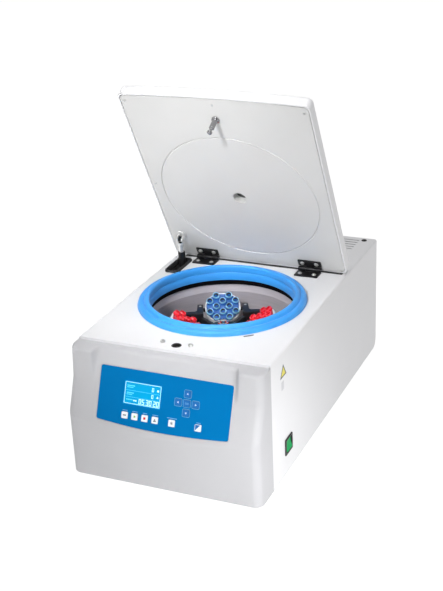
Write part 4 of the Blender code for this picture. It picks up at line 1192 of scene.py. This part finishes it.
def bucket_shape():
    """A round bucket with a thick rim, hollow, with a slot up each side for its trunnion pin."""
    low, high = -BUCKET_DEPTH, BUCKET_TOP
    loops = []
    for by, z in ((0.0060, low), (0.0026, low + 0.0008), (0.0008, low + 0.0030), (0.0004, low + 0.0060),
                  (0.0004, high - 0.0034), (0.0, high - 0.0028), (0.0, high - 0.0010), (0.0007, high - 0.0002),
                  (0.0014, high), (0.0024, high), (0.0029, high - 0.0006), (0.0030, low + 0.0080),
                  (0.0056, low + 0.0034)):
        loops.append(lifted(inset(BUCKET_X, BUCKET_Y, BUCKET_CORNER, by, 12), z))
    shape = loft(loops)
    groove_r = 0.0044
    for sign in (-1, 1):
        edge = sign * (BUCKET_X - 0.0019)
        start, end = sorted((edge, sign * (BUCKET_X + 0.01)))
        hole = lathe([(0, start), (groove_r, start), (groove_r, end), (0, end)], 24, turn=LIE_X)
        shape = carve(shape, hole)
        shape = carve(shape, block((start, -groove_r, -0.1), (end, groove_r, 0.0)))
    return shape


def rack_shapes():
    """The tube rack as its joined sleeves, and separately the rims, coloured lighter as painted highlight, and the
    wells, coloured dark as painted shade in the blue racks.
    """
    top, foot = RACK_TOP, BUCKET_TOP + GAP
    body = slab(inset(0.0314, 0.0294, 0.0274, 0.0, 12), 0.0036 - BUCKET_DEPTH, foot + 0.0008)
    rims, wells = bmesh.new(), bmesh.new()
    for x, y in WELLS:
        place = at(x, y)
        sleeve = [(0.0050, foot), (0.0050, top - 0.0010), (0.0054, top - 0.0004), (0.0060, top - 0.0006),
                  (0.0066, top - 0.0018), (0.0068, top - 0.0040), (0.0068, foot)]
        combine(body, lathe(sleeve, 28, True), place)
        rim = [(0.0050, top - 0.0012), (0.0052, top - 0.0002), (0.0056, top), (0.0061, top - 0.0003),
               (0.0067, top - 0.0016), (0.0069, top - 0.0030), (0.0065, top - 0.0034), (0.0058, top - 0.0018)]
        combine(rims, lathe(rim, 32, True), place)
        well = [(0, foot + 0.0010), (0.0049, foot + 0.0010), (0.0049, top - 0.0012), (0.0046, top - 0.0012),
                (0.0046, foot + 0.0026), (0.0034, foot + 0.0014), (0, foot + 0.0012)]
        combine(wells, lathe(well, 28), place)
    for x, y in ((0, WELL_ROW), (0, -WELL_ROW)):
        web = slab(inset(0.0300, 0.0040, 0.0030, 0.0, 4), foot, top - 0.0050, 0.0006, ("top",), 2)
        combine(body, web, at(x, y))
    for x in (-WELL_STEP, WELL_STEP):
        web = slab(inset(0.0040, 0.0290, 0.0030, 0.0, 4), foot, top - 0.0052, 0.0006, ("top",), 2)
        combine(body, web, at(x, 0))
    return body, rims, wells


def buckets():
    """The four buckets with their racks, each in the frame of its own trunnion axis."""
    # The blue racks' wells are coloured dark as painted shade, and every rack's rims are a lighter copy of its colour
    # as painted highlight.
    for label, degrees, colour, rim, well in (
        ("rear", 0, "rack_blue", "rim_blue_painted_highlight", "painted_well_shade"),
        ("left", 90, "rack_red", "rim_red_painted_highlight", "rack_red"),
        ("front", 180, "rack_blue", "rim_blue_painted_highlight", "painted_well_shade"),
        ("right", 270, "rack_red", "rim_red_painted_highlight", "rack_red"),
    ):
        place = (
            ROTOR
            @ Matrix.Rotation(math.radians(degrees), 4, "Z")
            @ at(0, TRUNNION_R, TRUNNION_Z)
            @ Matrix.Rotation(BUCKET_TILT, 4, "X")
        )
        body = f"swing_{label}"
        sleeves, rims, wells = rack_shapes()
        piece(f"cup_{label}", bucket_shape(), place, body, "bucket_white", (f"bucket_{label}",), 30)
        piece(f"rack_{label}", sleeves, place, body, colour, (f"tube_rack_{label}",), 30)
        piece(f"rack_{label}_rims", rims, place, body, rim, (), 30)
        piece(f"rack_{label}_wells", wells, place, body, well, (), 30)


# ---------------------------------------------------------------- deck, sides and rear


def deck_fittings():
    """Latch hole liner, two ring bumpers, a thin dark arc by the gasket, a dark dome at the rear corner and a dark
    strip under the lid's rear edge; the liner, the bumpers' holes and the dome are painted dark as shade, and the strip
    is painted shadow.
    """
    # The latch hole's liner, coloured dark: painted shade of the hole.
    liner = lathe(
        [(0.0070, 0.0004), (0.0074, 0.0007), (0.0086, 0.0006), (0.0092, 0.0001), (0.0083, 0.0001), (0.0083, -0.0060),
         (0.0072, -0.0060)], 40, True,
    )
    piece("latch_hole_shade_liner", liner, DECK @ at(0, LATCH_Y), "case", "painted_hole_shade")
    for label, x, y in (("left", -0.0295, 0.0266), ("right", 0.0249, 0.0269)):
        ring = lathe(
            [(0.0020, 0.0002), (0.0020, 0.0026), (0.0026, 0.0036), (0.0036, 0.0037), (0.0043, 0.0030), (0.0046, 0.0016),
             (0.0046, 0.0001)], 32, True,
        )
        piece(f"bumper_{label}", ring, DECK @ at(x, y), "case", "screw_steel")
        # A dark disc in each bumper's hole: painted shade.
        hole_painted_shade = lathe([(0, 0.0001), (0.0019, 0.0001), (0.0019, 0.0016), (0, 0.0018)], 16)
        piece(f"bumper_{label}_core", hole_painted_shade, DECK @ at(x, y), "case", "painted_hole_shade")
    # A dark strip on the deck under the lid's rear edge: painted shadow of the gap between lid and deck.
    strip = block((-0.164, HINGE_Y + 0.0035, 0.0002), (0.176, HINGE_Y + 0.0150, 0.0008), 0.0002, 1)
    piece("lid_gap_painted_shadow", strip, DECK, "case", "black_rubber")
    # A thin dark arc on the deck just outside the gasket.
    strip = []
    for radius, order in ((0.1656, 1), (0.1680, -1)):
        turns = [math.radians(-53.7 + 0.8 * step) for step in range(9)][::order]
        strip += [(radius * math.cos(turn), radius * math.sin(turn)) for turn in turns]
    piece("deck_dark_arc", slab(strip, 0.0001, 0.0007), CHAMBER_TOP, "case", "painted_hole_shade")
    # A low dark dome at the rear corner, coloured dark as painted shade of a recess.
    plug = lathe([(0, 0.0002), (0.0056, 0.0002), (0.0055, 0.0010), (0.0038, 0.0020), (0, 0.0023)], 28)
    piece("deck_rear_plug_shade", plug, DECK @ at(0.162, 0.606), "case", "painted_hole_shade")


def side_fittings():
    """Blank triangle and square stickers, and the rocker switch in its bezel."""
    corner = [(-0.0150, -0.0115), (0.0150, -0.0115), (0.0, 0.0125)]
    small = [(-0.0105, -0.0090), (0.0105, -0.0090), (0.0, 0.0080)]
    place = SIDE @ at(0, 0.058, 0.2105) @ FACE_X
    piece("sticker_border", ring_of(corner, small, 0.00005, 0.00022), place, "case", "print_dark")
    piece("sticker_face", flat(small, 0.00005, 0.00018), place, "case", "sticker_yellow")
    square = slab(inset(0.0060, 0.0085, 0.0008, 0.0, 3), 0.00005, 0.00018)
    piece("sticker_square", square, SIDE @ at(0, 0.054, 0.183) @ FACE_X, "case", "sticker_grey")

    def outer(by, z):
        """The bezel's outer outline, drawn in by some distance, at one height."""
        return lifted(inset(0.0180, 0.0165, 0.0026, by), z)

    def hole(by, z):
        """The bezel's opening, widened by some distance, at one height."""
        return lifted(inset(0.0130, 0.0122, 0.0012, -by), z)

    loops = [
        outer(0.0, GAP), outer(0.0, 0.0012), outer(0.0005, 0.0019), outer(0.0012, 0.0023),
        hole(0.0010, 0.0023), hole(0.0003, 0.0020), hole(0.0, 0.0012), hole(0.0, -0.0130),
        hole(0.0016, -0.0130), hole(0.0016, GAP),
    ]
    bezel = loft(loops, False, False)
    bridge_ends(bezel, len(loops[0]), len(loops))
    combine(bezel, block((-0.0146, -0.0136, -0.0200), (0.0146, 0.0136, -0.0132), 0.0006, 1))
    piece("switch_bezel", bezel, SWITCH @ FACE_X, "case", "black_plastic", ("power_switch_bezel",), 35)
    pivot = SWITCH @ at(-0.0045, 0, 0) @ Matrix.Rotation(-ROCKER_TILT, 4, "Y") @ FACE_X
    half_w, half_h = 0.0124, 0.0108
    stations = []
    for share in [step / 12 for step in range(13)]:
        y = half_h * (2 * share - 1)
        dish = 0.0064 - 0.0016 * (1 - (2 * share - 1) ** 2)
        edge = 0.0007 if step_edge(share) else 0.0
        stations.append([(-half_w, y, -0.0030), (half_w, y, -0.0030), (half_w, y, dish - edge - 0.0006),
                         (half_w - 0.0006, y, dish - edge), (0.0006 - half_w, y, dish - edge),
                         (-half_w, y, dish - edge - 0.0006)])
    rocker = loft(stations)
    piece("rocker_button", rocker, pivot, "rocker", "rocker_green", ("power_rocker",), 40)


def step_edge(share):
    """Whether a place along the rocker is one of its two ends."""
    return share in (0.0, 1.0)


def rear_fittings():
    """The mains inlet with its three blades, and screws round the rear panel."""
    flange = inset(0.0175, 0.0138, 0.0030, 0.0)
    opening = inset(0.0120, 0.0082, 0.0020, 0.0)
    up = Matrix.Rotation(math.pi / 2, 4, "X")
    place = CASE @ at(INLET_X, CASE_D, INLET_Z) @ up.inverted()
    base, face = -0.0046, -0.0025
    loops = [
        lifted(flange, base), lifted(flange, face - 0.0005), lifted(inset(0.0175, 0.0138, 0.0030, 0.0006), face),
        lifted(inset(0.0120, 0.0082, 0.0020, -0.0006), face), lifted(opening, face - 0.0006), lifted(opening, -0.0200),
    ]
    body = loft(loops)
    combine(body, block((-0.0138, -0.0103, -0.0240), (0.0138, 0.0103, -0.0201), 0.0006, 1))
    piece("inlet_socket", body, place, "case", "black_plastic", ("power_inlet",), 35)
    blades = bmesh.new()
    for x, y in ((0.0, 0.0020), (-0.0070, -0.0020), (0.0070, -0.0020)):
        combine(blades, block((x - 0.0010, y - 0.0020, -0.0202), (x + 0.0010, y + 0.0020, -0.0070), 0.0004, 1))
    piece("inlet_blades", blades, place, "case", "screw_steel")
    screws = bmesh.new()
    outwards = Matrix.Rotation(-math.pi / 2, 4, "X")
    rear = CASE_D - 0.0050
    for x, z in ((-0.172, 0.235), (0.172, 0.235), (-0.172, 0.030), (0.172, 0.030), (0.0, 0.235), (0.0, 0.014),
                 (FAN_X - 0.062, FAN_Z + 0.055), (FAN_X + 0.062, FAN_Z + 0.055), (FAN_X - 0.062, FAN_Z - 0.055),
                 (FAN_X + 0.062, FAN_Z - 0.055)):
        combine(screws, pan_screw(0.0034, 0.0018), at(x, rear, z) @ outwards)
    piece("rear_screws", screws, CASE, "case", "screw_steel")
    plate_low = block((0.070, rear + 0.0001, 0.120), (0.150, rear + 0.0004, 0.170), 0.0001, 1)
    piece("rating_plate_blank", plate_low, CASE, "case", "sticker_grey")


# ---------------------------------------------------------------- camera, floor and lights


def camera():
    """The viewing place, with the small roll that the level object is seen under."""
    yaw, pitch, roll = math.radians(24.27), math.radians(23.52), -0.0442
    forward = Vector((-math.sin(yaw) * math.cos(pitch), math.cos(yaw) * math.cos(pitch), -math.sin(pitch)))
    level = forward.cross(Vector((0, 0, 1))).normalized()
    upright = level.cross(forward)
    right = math.cos(roll) * level + math.sin(roll) * upright
    up = -math.sin(roll) * level + math.cos(roll) * upright
    data = bpy.data.cameras.new("camera")
    data.lens = 74.02
    data.sensor_width = 36.0
    data.clip_end = 60.0
    made = bpy.data.objects.new("camera", data)
    bpy.context.scene.collection.objects.link(made)
    turn = Matrix((right, up, -forward)).transposed().to_4x4()
    made.matrix_world = Matrix.Translation((0.863461, -1.970994, 1.1840)) @ turn
    bpy.context.scene.camera = made


def soft_light(name, place, aim, size, power, spread=180):
    """A square soft box, whose grid narrows its beam to a number of degrees."""
    data = bpy.data.lights.new(name, "AREA")
    data.size = size
    data.energy = power
    data.spread = math.radians(spread)
    made = bpy.data.objects.new(name, data)
    bpy.context.scene.collection.objects.link(made)
    made.location = place
    made.rotation_euler = (Vector(aim) - Vector(place)).to_track_quat("-Z", "Y").to_euler()


def studio():
    """The pale floor, the world and the four soft lights."""
    floor_shape = bmesh.new()
    bmesh.ops.create_grid(floor_shape, x_segments=24, y_segments=24, size=14.0)
    mesh = bpy.data.meshes.new("floor")
    floor_shape.to_mesh(mesh)
    floor_shape.free()
    floor = bpy.data.objects.new("floor", mesh)
    bpy.context.scene.collection.objects.link(floor)
    pale = surface("studio_floor", (0.10, 0.10, 0.10, 1.0), 0.9, mottle=0.004, mottle_size=0.6, grain=0.00002)
    shader = pale.node_tree.nodes["Principled BSDF"]
    shader.inputs["Emission Color"].default_value = (1.0, 1.0, 1.0, 1.0)
    shader.inputs["Emission Strength"].default_value = 0.99
    shader.inputs["Specular IOR Level"].default_value = 0.0
    mesh.materials.append(pale)
    world = bpy.data.worlds.new("studio")
    bpy.context.scene.world = world
    world.use_nodes = True
    background = world.node_tree.nodes["Background"]
    background.inputs["Color"].default_value = (1.0, 1.0, 1.0, 1.0)
    background.inputs["Strength"].default_value = 0.25
    soft_light("top", (0.1, 0.0, 2.7), (0, -0.05, 0.25), 1.4, 31.0)
    soft_light("front", (-0.1, -1.5, 1.45), (-0.02, 0.12, 0.28), 0.25, 0.85, 26)
    soft_light("right", (0.9, -1.0, 0.5), (0.180, -0.34, 0.05), 0.30, 0.60, 36)
    soft_light("left", (-1.1, -1.3, 1.0), (-0.1, 0, 0.45), 0.8, 2.5)


bpy.context.scene.view_settings.view_transform = "Standard"
bpy.context.scene.view_settings.look = "None"

camera()
studio()
fascia()
display()
keypad_prints()
lid_shell()
lid_liner()
striker()
hinges()
strut()
chamber()
rotor()
buckets()
deck_fittings()
side_fittings()
rear_fittings()
